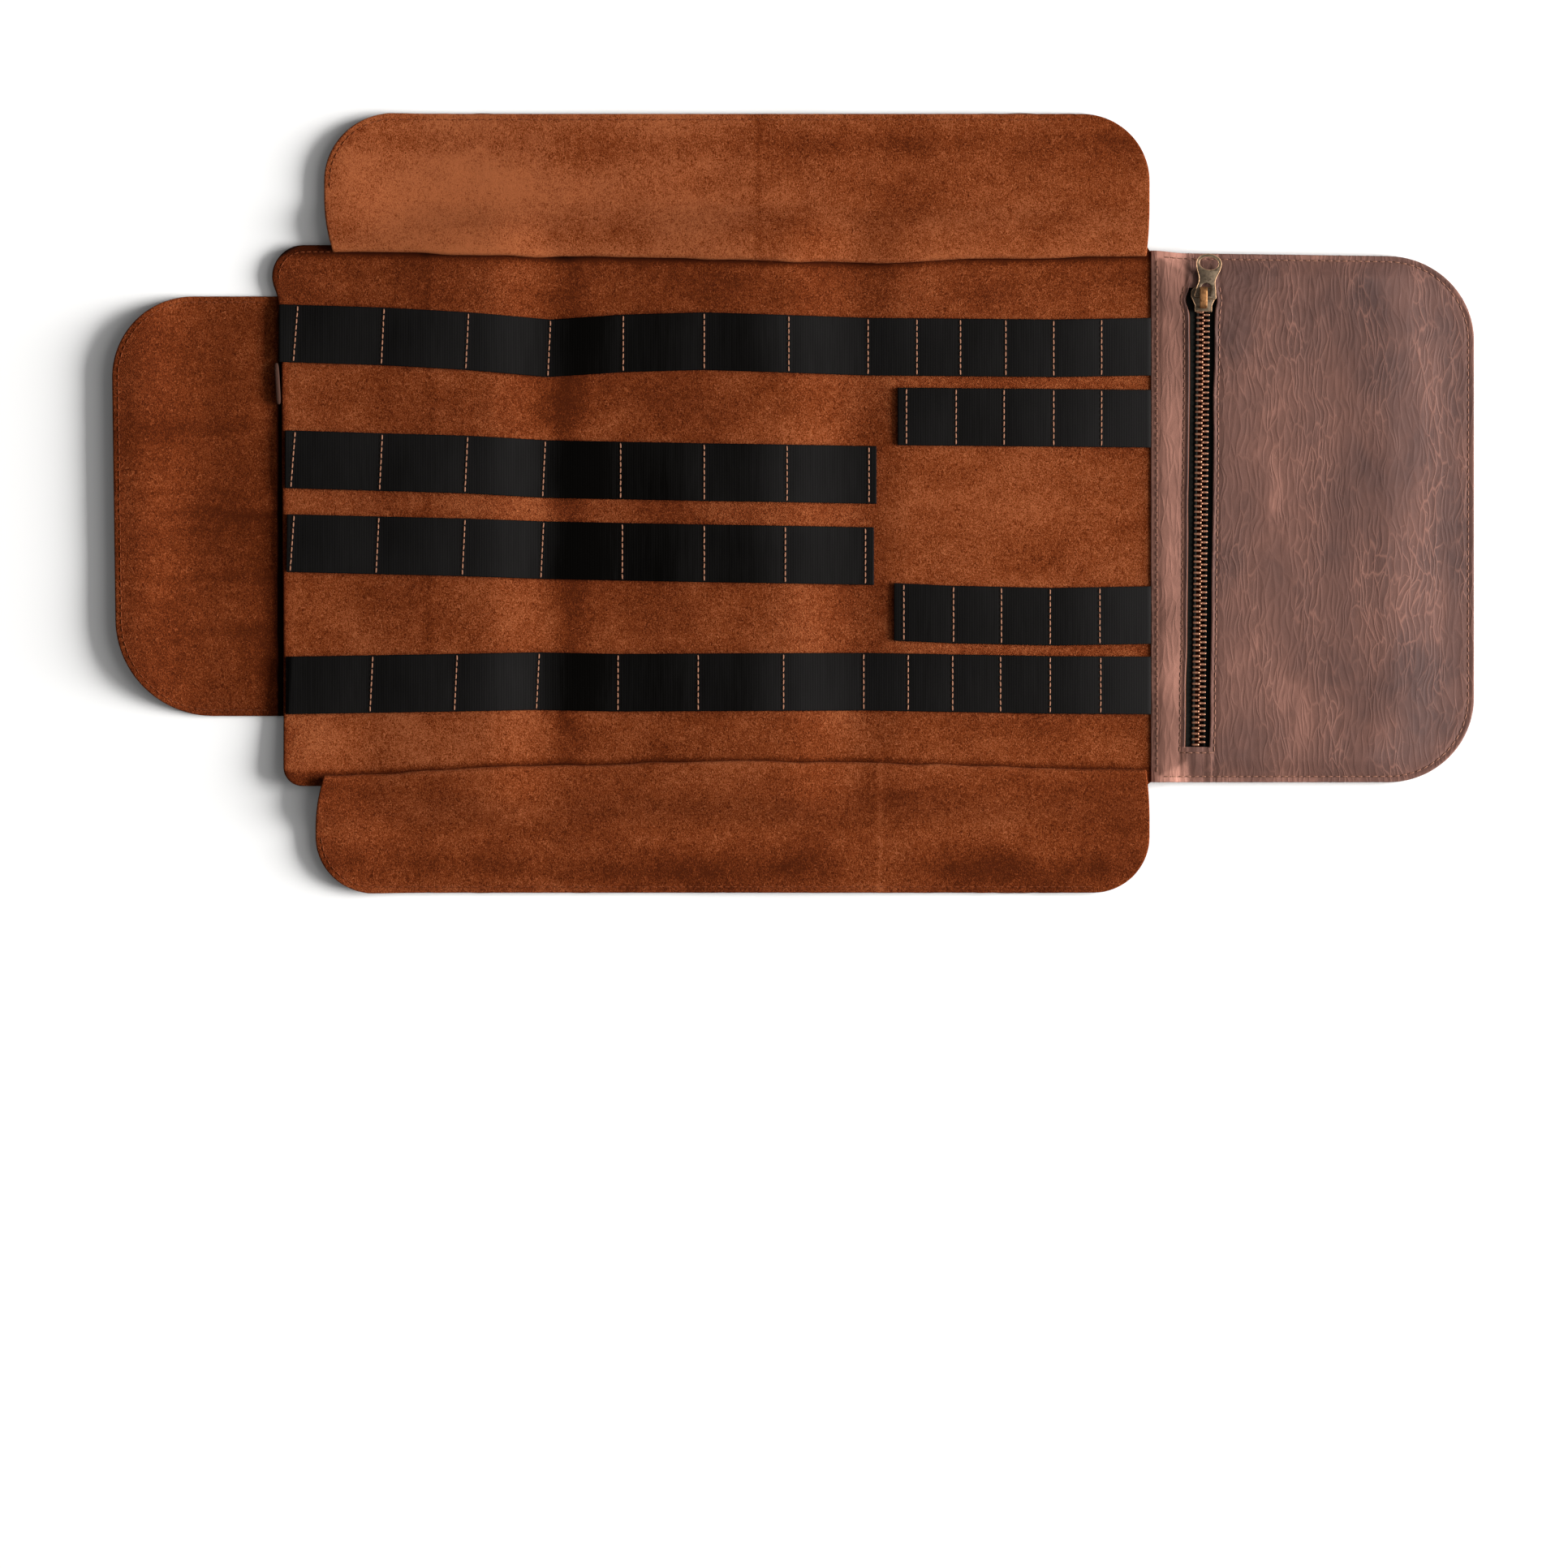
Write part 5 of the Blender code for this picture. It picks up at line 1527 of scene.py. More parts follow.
@dataclass
class Pocket:
    """The zip pocket: a flat back and a wrinkled, filled front with its slot."""

    plan: RollPlan
    finishes: Wardrobe
    sewer: Sewer
    spacing: float = 0.00100
    corner_radius: float = 0.0380
    taper: float = 0.0020
    fill: float = 0.0052
    rise: float = 0.0110
    left_run: float = 0.0155
    right_run: float = 0.0420
    slot_length: float = 0.2052
    slot_width: float = 0.0119
    slot_setback: float = 0.0213
    slot_slant: float = math.radians(0.62)
    seam_inset: float = 0.0026
    slot_stitch: float = 0.0022
    lip_overhang: float = 0.0003
    right_lip: float = 0.0010
    skive: float = 0.0007
    seam_shift: float = 0.0008
    top_drop: float = 0.0009

    def __post_init__(self) -> None:
        """Reads the two walls' boxes."""
        plan = self.plan
        low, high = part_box("pocket_back")
        self.low_y, self.high_y, self.right_x = low.y, high.y, high.x
        self.back_x = low.x
        self.length = self.right_x - plan.spine_x
        self.width = self.high_y - self.low_y
        self.middle_y = (plan.low_y + plan.high_y) / 2
        self.slot_x = plan.spine_x + self.slot_setback
        self.slot_low = self.middle_y - self.slot_length / 2
        self.slot_high = self.middle_y + self.slot_length / 2
        self.crown_z = plan.leather + self.fill + plan.leather / 2
        self.rim_z = plan.leather + plan.gap + plan.leather / 2
        self.seam_z = plan.seat + plan.leather + plan.gap + plan.leather / 2

    def right_edge(self, y: Array) -> Array:
        """Right edge with its round corners."""
        return (self.right_x - corner_inset(self.high_y - y, self.corner_radius)
                - corner_inset(y - self.low_y, self.corner_radius))

    def drawn_y(self, x: Array, y: Array) -> Array:
        """Y after the top edge has drawn in towards the right."""
        share = (x - self.plan.spine_x) / self.length
        height = (y - self.low_y) / self.width
        drop = self.top_drop * (1.0 + smooth((x - self.plan.spine_x) / 0.014)) * height ** 3
        return y - self.taper * share * height - drop

    def slot_edge(self, y: Array, side: int) -> Array:
        """X of the slot's left (-1) or right (+1) edge, spread round the slider at its top."""
        lean = math.tan(self.slot_slant) * (y - self.middle_y)
        spread = 0.0019 * hill(y, self.slot_high - 0.0055, 0.0042)
        wobble = 0.00022 * noise(y / 0.016, y * 0.0, 51.0 + side)
        reach = self.slot_width / 2 + (spread if side < 0 else 0.6 * spread - self.right_lip)
        return self.slot_x + lean + side * reach + wobble

    def edge_distance(self, x: Array, y: Array) -> Array:
        """Distance to the pocket's sewn outline."""
        box = (self.plan.spine_x, self.right_x, self.low_y, self.high_y)
        return inside_distance(x, y, box, (0.0, self.corner_radius, 0.0, self.corner_radius))

    def front_mid(self, x: Array, y: Array) -> Array:
        """Middle height of the front: sewn down at its rim, filled towards its middle.

        Added to that are a groove along each row of stitches and wrinkles along the pocket.
        """
        plan = self.plan
        past_lap = smooth((x - plan.spine_x - plan.panel_lap - plan.leather) / self.rise)
        edge = self.seam_z + (self.rim_z - self.seam_z) * past_lap
        near = self.edge_distance(x, y)
        fall = smooth((self.right_edge(y) - x) / self.right_run)
        ramp = np.clip((x - plan.spine_x) / self.left_run, 0.0, 1.0)
        height = edge + (self.crown_z - edge) * np.minimum(smooth(near / self.rise), ramp) * fall
        groove = 0.00035 * hill(near, self.seam_inset, 0.0008)
        beside = np.minimum(np.abs(x - self.slot_edge(y, -1)), np.abs(x - self.slot_edge(y, 1)))
        groove = groove + 0.00035 * hill(beside, self.slot_stitch, 0.0009)
        return height - groove + self.wrinkles(x, y) * smooth((near - 0.003) / 0.012)

    def front_top(self, x: Array, y: Array) -> Array:
        """Height of the grain side, thinned at the seam."""
        beyond = x - self.plan.spine_x + self.seam_shift
        return self.front_mid(x, y) + self.plan.leather / 2 - self.skive * (1.0 - smooth(beyond / 0.0030))

    def wrinkles(self, x: Array, y: Array) -> Array:
        """Long creases along Y that wander and branch, with soft hollows between them."""
        bent = x + 0.006 * layered(x / 0.05, y / 0.045, 61.0)
        lines = ridges(bent / 0.0085, y / 0.060, 63.0)
        fine = ridges(bent / 0.0040, y / 0.024, 65.0)
        hollows = layered(x / 0.032, y / 0.045, 67.0, 2)
        calm = smooth((x - self.slot_x - 0.004) / 0.012)
        away_x, away_y = x - self.slot_x - 0.003, self.slot_high - 0.004 - y
        away = np.hypot(away_x, away_y)
        turn = np.arctan2(away_y, np.maximum(away_x, 1e-6))
        rays = ridges(turn / 0.16 + 0.5 * noise(away / 0.012, turn, 73.0), away / 0.03, 75.0)
        rays = rays * smooth((away - 0.004) / 0.008) * (1.0 - smooth((away - 0.030) / 0.040))
        rays = rays * smooth(away_x / 0.003)
        return (0.00011 * lines + 0.00004 * fine + 0.00022 * hollows) * calm - 0.0002 + 0.00026 * rays

    def build(self) -> None:
        """Makes the back, the front and their stitching."""
        self.build_back()
        self.build_front()
        self.sew()

    def build_back(self) -> None:
        """Outer wall, flat on the floor and lapped under the panel."""
        plan = self.plan
        rows = edged_range(self.low_y, self.high_y, 0.003, (self.corner_radius, self.corner_radius))
        columns = edged_range(0.0, self.right_x - self.back_x, 0.003, (0.0, 0.0))
        y = np.repeat(rows[:, None], len(columns), axis=1)
        x = self.back_x + (self.right_edge(y) - self.back_x) * columns[None, :] / columns[-1]
        roll = rolled(self.edge_distance(np.maximum(x, plan.spine_x + 0.002), y))
        sheet = put_sheet("pocket_back_leather", x, self.drawn_y(x, y), plan.leather - roll * 0.3,
                          roll * 0.5, self.finishes.hide, 0.4 * layered(x / 0.03, y / 0.03, 69.0))
        dress(sheet, nodes=["pocket_back"])

    def build_front(self) -> None:
        """Front wall, with columns that follow the slot's two edges."""
        plan = self.plan
        rows = edged_range(self.low_y, self.high_y, self.spacing, (self.corner_radius, self.corner_radius))
        ends = np.concatenate([at + np.array([-1, 0, 1]) * 0.0003 for at in (self.slot_low, self.slot_high)])
        rows = thinned(np.concatenate([rows, ends]), 0.00012)
        rows[np.argmin(np.abs(rows - self.slot_low))] = self.slot_low
        rows[np.argmin(np.abs(rows - self.slot_high))] = self.slot_high
        left_run = self.slot_setback - self.slot_width / 2
        right_run = self.length - self.slot_setback - self.slot_width / 2
        left_stage = edged_range(0.0, left_run, self.spacing, (0.0, 0.0)) / left_run
        slot_stage = 1.0 + np.linspace(0.0, 1.0, 11)[1:-1]
        right_stage = 2.0 + edged_range(0.0, right_run, self.spacing, (0.0, 0.0)) / right_run
        stage = np.concatenate([left_stage, slot_stage, right_stage])[None, :]
        y = np.repeat(rows[:, None], stage.shape[1], axis=1)
        slot_left, slot_right, right = self.slot_edge(y, -1), self.slot_edge(y, 1), self.right_edge(y)
        seam_x = plan.spine_x - self.seam_shift
        x = np.where(stage <= 1.0, seam_x + (slot_left - seam_x) * stage, 0.0)
        x = np.where((stage > 1.0) & (stage < 2.0), slot_left + (slot_right - slot_left) * (stage - 1.0), x)
        x = np.where(stage >= 2.0, slot_right + (right - slot_right) * (stage - 2.0), x)
        middle = self.front_mid(x, y)
        in_slot_rows = (y >= self.slot_low) & (y <= self.slot_high)
        to_slot = np.where(in_slot_rows, np.minimum(np.abs(x - slot_left), np.abs(x - slot_right)), 1.0)
        seam_edge = np.minimum(np.minimum(x - seam_x, self.high_y - y), y - self.low_y)
        border = np.where(x < plan.spine_x + 0.01, seam_edge, self.edge_distance(x, y))
        roll = rolled(np.maximum(np.minimum(border, to_slot), 0.0), 0.0005)
        lip_left = np.where(in_slot_rows, hill(x, slot_left, 0.0007), 0.0)
        lip_left = np.where(x <= slot_left + 1e-6, lip_left, 0.0)
        lip_rise = 0.00015 * lip_left
        shift = self.lip_overhang * np.where(lip_left > 0.6, lip_left, 0.0)
        cell_stage = (stage[0, :-1] + stage[0, 1:]) / 2
        cell_y = (rows[:-1] + rows[1:]) / 2
        is_slot = ((cell_stage > 1.0) & (cell_stage < 2.0))[None, :] & (
            (cell_y > self.slot_low) & (cell_y < self.slot_high))[:, None]
        sheet = put_sheet("pocket_front_leather", x, self.drawn_y(x, y),
                          self.front_top(x, y) + lip_rise - roll,
                          middle + lip_rise - plan.leather / 2 + roll * 0.3,
                          self.finishes.get("pocket_grain", "suede", "cut_edge"), self.tone(x, y),
                          ~is_slot, shift)
        dress(sheet, nodes=["pocket_front"])

    def tone(self, x: Array, y: Array) -> Array:
        """Cooler and darker patches on the right, redder and lighter towards the zip and rim, partly painted
        light on the strip, and painted shade on the slot's left lip.
        """
        near = self.edge_distance(x, y)
        right = smooth((x - self.slot_x - 0.02) / 0.07)
        # Lighter strip left of the slot: partly its smoother leather, partly painted light on a slope that
        # faces away from the lamp.
        strip = smooth((self.slot_x - 0.004 - x) / 0.004)
        beside = (x < self.slot_x) & (np.abs(y - self.middle_y) < self.slot_length / 2)
        # Painted shade on the slot's left lip, whose edge faces the lamp.
        lip = hill(x, self.slot_edge(y, -1), 0.0008) * beside
        return (0.5 * layered(x / 0.03, y / 0.04, 71.0) + 0.40 - 0.55 * right + 1.15 * strip
                + 0.6 * hill(near, 0.0, 0.004) * (1.0 - strip) - 1.6 * lip)

    def sew(self) -> None:
        """Stitches round the outline, down the spine seam and along the slot."""
        plan = self.plan
        inset = self.seam_inset
        radius = self.corner_radius - inset
        right, low, high = self.right_x - inset, self.low_y + inset, self.high_y - inset
        across = np.linspace(plan.spine_x + inset + 0.002, right - radius, 90)
        down = np.linspace(high - radius, low + radius, 130)
        turn_high = circle_arc((right - radius, high - radius), radius, 90, 0, 40)
        turn_low = circle_arc((right - radius, low + radius), radius, 0, -90, 40)
        outline = np.concatenate([level(across, high), turn_high[1:-1], upright(right, down), turn_low[1:-1],
                                  level(across[::-1], low)])
        seam_y = np.linspace(self.low_y + 0.004, self.high_y - 0.004, 160)
        seam = upright(plan.spine_x + inset - self.seam_shift, seam_y)
        slot_y = np.linspace(self.slot_low - 0.0026, self.slot_high + 0.001, 140)
        beside = [np.stack([self.slot_edge(slot_y, side) + side * self.slot_stitch, slot_y], -1)
                  for side in (-1, 1)]
        below = level(np.linspace(beside[0][0, 0], beside[1][0, 0], 12), slot_y[0])
        lines = []
        for line in (outline, seam, *beside, below):
            height = self.front_top(line[:, 0], line[:, 1])
            lines.append(np.stack([line[:, 0], self.drawn_y(line[:, 0], line[:, 1]), height], -1))
        self.sewer.sew("pocket_stitches", lines, "brown_thread", Slot.POCKET, POCKET_STITCH)
        self.sewer.prick("pocket_needle_holes", lines, Slot.POCKET, POCKET_STITCH.pitch)


@dataclass
class Zip:
    """The zip in the pocket's slot: tapes, teeth, slider with its bail, and puller."""

    plan: RollPlan
    pocket: Pocket
    finishes: Wardrobe
    tape_thickness: float = 0.0006
    chain_width: float = 0.0056
    tooth_pitch: float = 0.00246
    tooth_height: float = 0.0022
    tooth_width: float = 0.00112
    tooth_length: float = 0.0034
    cord_radius: float = 0.00075
    slider_from_end: float = 0.0068
    slider_length: float = 0.0111
    slider_front: float = 0.0112
    slider_rear: float = 0.0078
    slider_plate: float = 0.0008
    bail_width: float = 0.0034
    bail_thickness: float = 0.0009
    bail_rear: float = 0.0041
    bail_front: float = 0.0055
    puller_length: float = 0.0193
    puller_thickness: float = 0.0012
    puller_bar: float = 0.0013
    puller_foot: float = 0.0100
    puller_waist: float = 0.0074
    puller_head: float = 0.0114
    window_width: float = 0.0088
    window_length: float = 0.0060
    arch_width: float = 0.0046
    arch_length: float = 0.0062
    axis_forward: float = 0.0010
    aside: float = 0.0007
    lean: float = math.radians(6.0)
    tilt: float = math.radians(2.0)

    def __post_init__(self) -> None:
        """Heights that follow from the tape, and the zip's own axes."""
        plan, pocket = self.plan, self.pocket
        self.tape_z = pocket.crown_z - plan.leather / 2 - plan.gap - self.tape_thickness / 2
        self.channel = self.tooth_height / 2 + plan.gap
        self.slider_y = pocket.slot_length / 2 - self.slider_from_end
        self.slider_top = self.tape_z + self.channel + self.slider_plate
        sweep_radius = math.hypot(self.puller_bar, self.puller_thickness) / 2
        self.axis_z = self.slider_top + plan.gap + sweep_radius
        self.bail_eye = self.axis_z + sweep_radius + plan.gap
        self.axes = Matrix.Translation((pocket.slot_x, pocket.middle_y, 0.0)) @ Matrix.Rotation(
            -pocket.slot_slant, 4, "Z")

    def placed(self, points: Array, matrix: Matrix) -> Array:
        """Points carried by a matrix."""
        whole = np.array(matrix)
        return points @ whole[:3, :3].T + whole[:3, 3]

    def put(self, name: str, shape: Solid, material: str, slot: Slot,
            body: Body = Body.ROLL, nodes: Sequence[str] = (), matrix: Matrix | None = None) -> None:
        """Puts a shape, drawn in the zip's own axes, into the scene."""
        points = self.placed(shape[0], self.axes @ (matrix or Matrix()))
        piece = put_mesh(name, points, shape[1], self.finishes.get(material))
        piece.data.set_sharp_from_angle(angle=math.radians(50))
        dress(piece, body, nodes)

    def build(self) -> None:
        """Makes every piece of the zip."""
        for label, side in (("left", -1), ("right", 1)):
            self.build_tape(label, side)
            self.build_teeth(label, side)
        self.build_slider()
        self.build_bail()
        self.build_puller()

    def build_tape(self, label: str, side: int) -> None:
        """A woven tape whose inner edge is thickened by a cord that the teeth grip."""
        node = "zip_tape_" + label
        low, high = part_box(node)
        inner = self.chain_width / 2 - 0.0008
        outer = self.chain_width / 2 + self.plan.gap + 0.0069
        half_length = (high.y - low.y) / 2
        rows = np.linspace(-half_length, half_length, 130)
        columns = np.sort(side * np.linspace(inner, outer, 12))
        y = np.repeat(rows[:, None], len(columns), axis=1)
        x = np.repeat(columns[None, :], len(rows), axis=0)
        ripple = 0.00012 * np.sin(2 * math.pi * y / 0.0041) * smooth((np.abs(x) - inner) / 0.002)
        middle = self.tape_z + ripple - 0.0002
        half = self.tape_thickness / 2
        top = self.placed(np.stack([x, y, middle + half], -1).reshape(-1, 3), self.axes)
        bottom = self.placed(np.stack([x, y, middle - half], -1).reshape(-1, 3), self.axes)
        tape = put_wall(node + "_web", top, bottom, grid_quads(*x.shape), self.finishes.get("tape_web") * 3,
                        (0.25 * layered(x / 0.003, y / 0.01, 81.0)).ravel())
        dress(tape, nodes=[node])

    def build_teeth(self, label: str, side: int) -> None:
        """A row of teeth, each a boxy bar with a raised head, on a dark cord."""
        shift = 0.0 if side < 0 else 0.5
        first = -self.pocket.slot_length / 2 + self.plan.gap + (shift + 0.25) * self.tooth_pitch
        count = int((self.slider_y - self.slider_length / 4 - first) / self.tooth_pitch)
        y = first + np.arange(count) * self.tooth_pitch
        middle_x = side * (self.chain_width / 2 - self.tooth_length / 2 + 0.0003)
        bar = lump(self.tooth_length, self.tooth_width, self.tooth_height * 0.92, 7, 8, 0.35)
        head = lump(self.tooth_length * 0.34, self.tooth_width * 0.95, self.tooth_height * 0.97, 5, 8, 0.45)
        head_points = head[0] - np.array([side * self.tooth_length * 0.30, 0.0, 0.0])
        shape, faces = joined(bar, (head_points, head[1]))
        middles = np.stack([np.full_like(y, middle_x), y, np.full_like(y, self.tape_z)], -1)
        turn = np.array(self.axes)[:3, :3]
        along = np.tile(turn @ np.array([1.0, 0.0, 0.0]), (count, 1))
        up = np.tile([0.0, 0.0, 1.0], (count, 1))
        row = Placing(self.placed(middles, self.axes), along, up).put(
            "zip_teeth_%s_metal" % label, shape, faces, self.finishes.get("copper")[0])
        dress(row, nodes=["zip_teeth_" + label])
        run = np.linspace(-self.pocket.slot_length / 2, self.slider_y - self.slider_length / 3, 160)
        edge = side * (self.chain_width / 2 - 0.0003)
        path = np.stack([np.full_like(run, edge), run, np.full_like(run, self.tape_z)], -1)
        cord = sweep(path, UP, self.cord_radius, self.cord_radius, 8)
        self.put("zip_cord_" + label, cord, "tape_web", Slot.TAPE)

    def slider_outline(self, grow: float = 0.0) -> Array:
        """Outline of a slider plate, wide in front where the rows of teeth part."""
        front, rear = self.slider_front / 2 + grow, self.slider_rear / 2 + grow
        nose, curve = self.slider_length / 2 + grow, self.slider_length / 4
        shoulder = nose - curve
        return np.concatenate([
            [(-rear, -nose), (rear, -nose), (rear, curve - nose), (front, shoulder - curve / 2)],
            circle_arc((front - curve, shoulder), curve, 0, 90, 8),
            circle_arc((-front + curve, shoulder), curve, 90, 180, 8),
            [(-front, shoulder - curve / 2), (-rear, curve - nose)],
        ])

    def cut(self, loop: Array, thickness: float, bevel: float, z: float) -> Solid:
        """A plate cut to one loop, level at the slider."""
        points, faces = plate([loop], thickness, bevel)
        return points + np.array([0.0, self.slider_y, z]), faces

    def bead(self, loop: Array, z: float, radius: float, height: float = 1.0) -> Solid:
        """A round wire along a loop that closes on itself."""
        path = np.concatenate([loop, np.full((len(loop), 1), z)], axis=1)
        return sweep(path, UP, radius, radius * height, 8)

    def build_slider(self) -> None:
        """Two plates on a post, with flanges at the rear that guide the teeth."""
        half = self.slider_plate / 2
        shapes = [self.cut(self.slider_outline(), self.slider_plate, 0.00024, z)
                  for z in (self.slider_top - half, self.tape_z - self.channel - half)]
        post_loop = circle_arc((0.0, self.slider_length / 2 - 0.0024), 0.0012, 0, 345, 23)
        shapes.append(self.cut(post_loop, 2 * self.channel + 0.0006, 0.00005, self.tape_z))
        back, run = -self.slider_length / 2 + 0.0003, self.slider_length * 0.32
        for side in (-1, 1):
            path_y = np.linspace(back, back + run, 8)
            edge = side * (self.slider_rear / 2 - 0.00035)
            for z in (self.slider_top - self.slider_plate - 0.0003, self.tape_z - self.channel + 0.0003):
                flat = upright(edge, path_y + self.slider_y)
                path = np.concatenate([flat, np.full((len(flat), 1), z)], axis=1)
                shapes.append(sweep(path, UP, 0.00032, 0.0005, 10, 0.5))
        self.put("zip_slider_body", joined(*shapes), "aged_brass", Slot.SLIDER, nodes=["zip_slider"])
        rim = self.slider_outline(-0.00025)
        closed = np.concatenate([rim[1:], rim[:2]]) + np.array([0.0, self.slider_y])
        bead = self.bead(closed, self.slider_top - 0.00012, 0.00022)
        self.put("zip_slider_rim", bead, "worn_brass", Slot.SLIDER)

    def build_bail(self) -> None:
        """A flat arched strap on the slider, under which the puller's foot bar lies."""
        top = self.bail_eye + self.bail_thickness / 2
        foot = self.slider_top - self.slider_plate / 2
        rear = -self.bail_rear + self.bail_thickness / 2
        front = self.bail_front - self.bail_thickness / 2
        curve = 0.0019
        stretches = [
            upright(rear, np.linspace(foot, top - curve, 5)),
            circle_arc((rear + curve, top - curve), curve, 180, 90, 10)[1:],
            circle_arc((front - curve, top - curve), curve, 90, 0, 10),
            upright(front, np.linspace(top - curve, foot, 5))[1:],
        ]
        line = np.concatenate(stretches)
        path = np.stack([np.zeros(len(line)), line[:, 0] + self.slider_y, line[:, 1]], -1)
        inward = np.array([0.0, self.slider_y + (rear + front) / 2, foot]) - path
        inward[:, 0] = 0.0
        bar = sweep(path, -inward, self.bail_width / 2, self.bail_thickness / 2, 16, 0.45)
        self.put("zip_slider_bail", bar, "bail_brass", Slot.SLIDER)

    def puller_outline(self, grow: float = 0.0) -> Array:
        """Outline of the puller: splayed feet, a waist, and a round head."""
        foot, waist = self.puller_foot / 2 + grow, self.puller_waist / 2 + grow
        head, bar = self.puller_head / 2 + grow, self.puller_bar / 2
        tip = self.puller_length + grow
        middle = self.puller_length - self.window_length / 2 - self.puller_bar
        flatten = (tip - middle) / head
        run = np.linspace(0.0, 1.0, 12)
        side_y = 1.2 * bar + (middle * 0.94 - 1.2 * bar) * run
        side_x = follow(((0.0, foot * 0.97), (0.13, foot * 0.90), (0.48, waist), (1.0, head * 0.985)), run)
        right = np.stack([side_x, side_y], -1)
        left = np.stack([-side_x[::-1], side_y[::-1]], -1)
        crown = circle_arc((0.0, middle), head, -4, 184, 30, flatten)
        feet = np.array([(-foot + bar * 0.6, -bar * 0.8), (foot - bar * 0.6, -bar * 0.8), (foot, 0.0)])
        return np.concatenate([feet, right, crown, left, [(-foot, 0.0)]])

    def build_puller(self) -> None:
        """A waisted plate with an oval window and an arched slot that straddles the bail."""
        bar = self.puller_bar / 2
        middle = self.puller_length - self.window_length / 2 - self.puller_bar
        window = circle_arc((0.0, middle), self.window_width / 2, 0, 345, 23,
                            self.window_length / self.window_width)
        half = self.arch_width / 2
        top = self.arch_length - half
        arch = np.concatenate([[(half, bar), (half, top)], circle_arc((0.0, top), half, 15, 165, 9),
                               [(-half, top), (-half, bar)]])
        matrix = (Matrix.Translation((self.aside, self.slider_y + self.axis_forward, self.axis_z))
                  @ Matrix.Rotation(-self.lean, 4, "Z") @ Matrix.Rotation(-self.tilt, 4, "X"))
        blade = plate([self.puller_outline(), window, arch], self.puller_thickness * 0.8, 0.0002)
        self.put("zip_puller_plate", blade, "aged_brass", Slot.SLIDER, Body.PULLER, ["zip_puller"], matrix)
        rims = [self.bead(np.concatenate([loop, loop[:2]]), self.puller_thickness * 0.28, radius, 0.9)
                for loop, radius in ((self.puller_outline(-0.00022), 0.00026), (window, 0.00020))]
        self.put("zip_puller_rim", joined(*rims), "worn_brass", Slot.SLIDER, Body.PULLER, (), matrix)


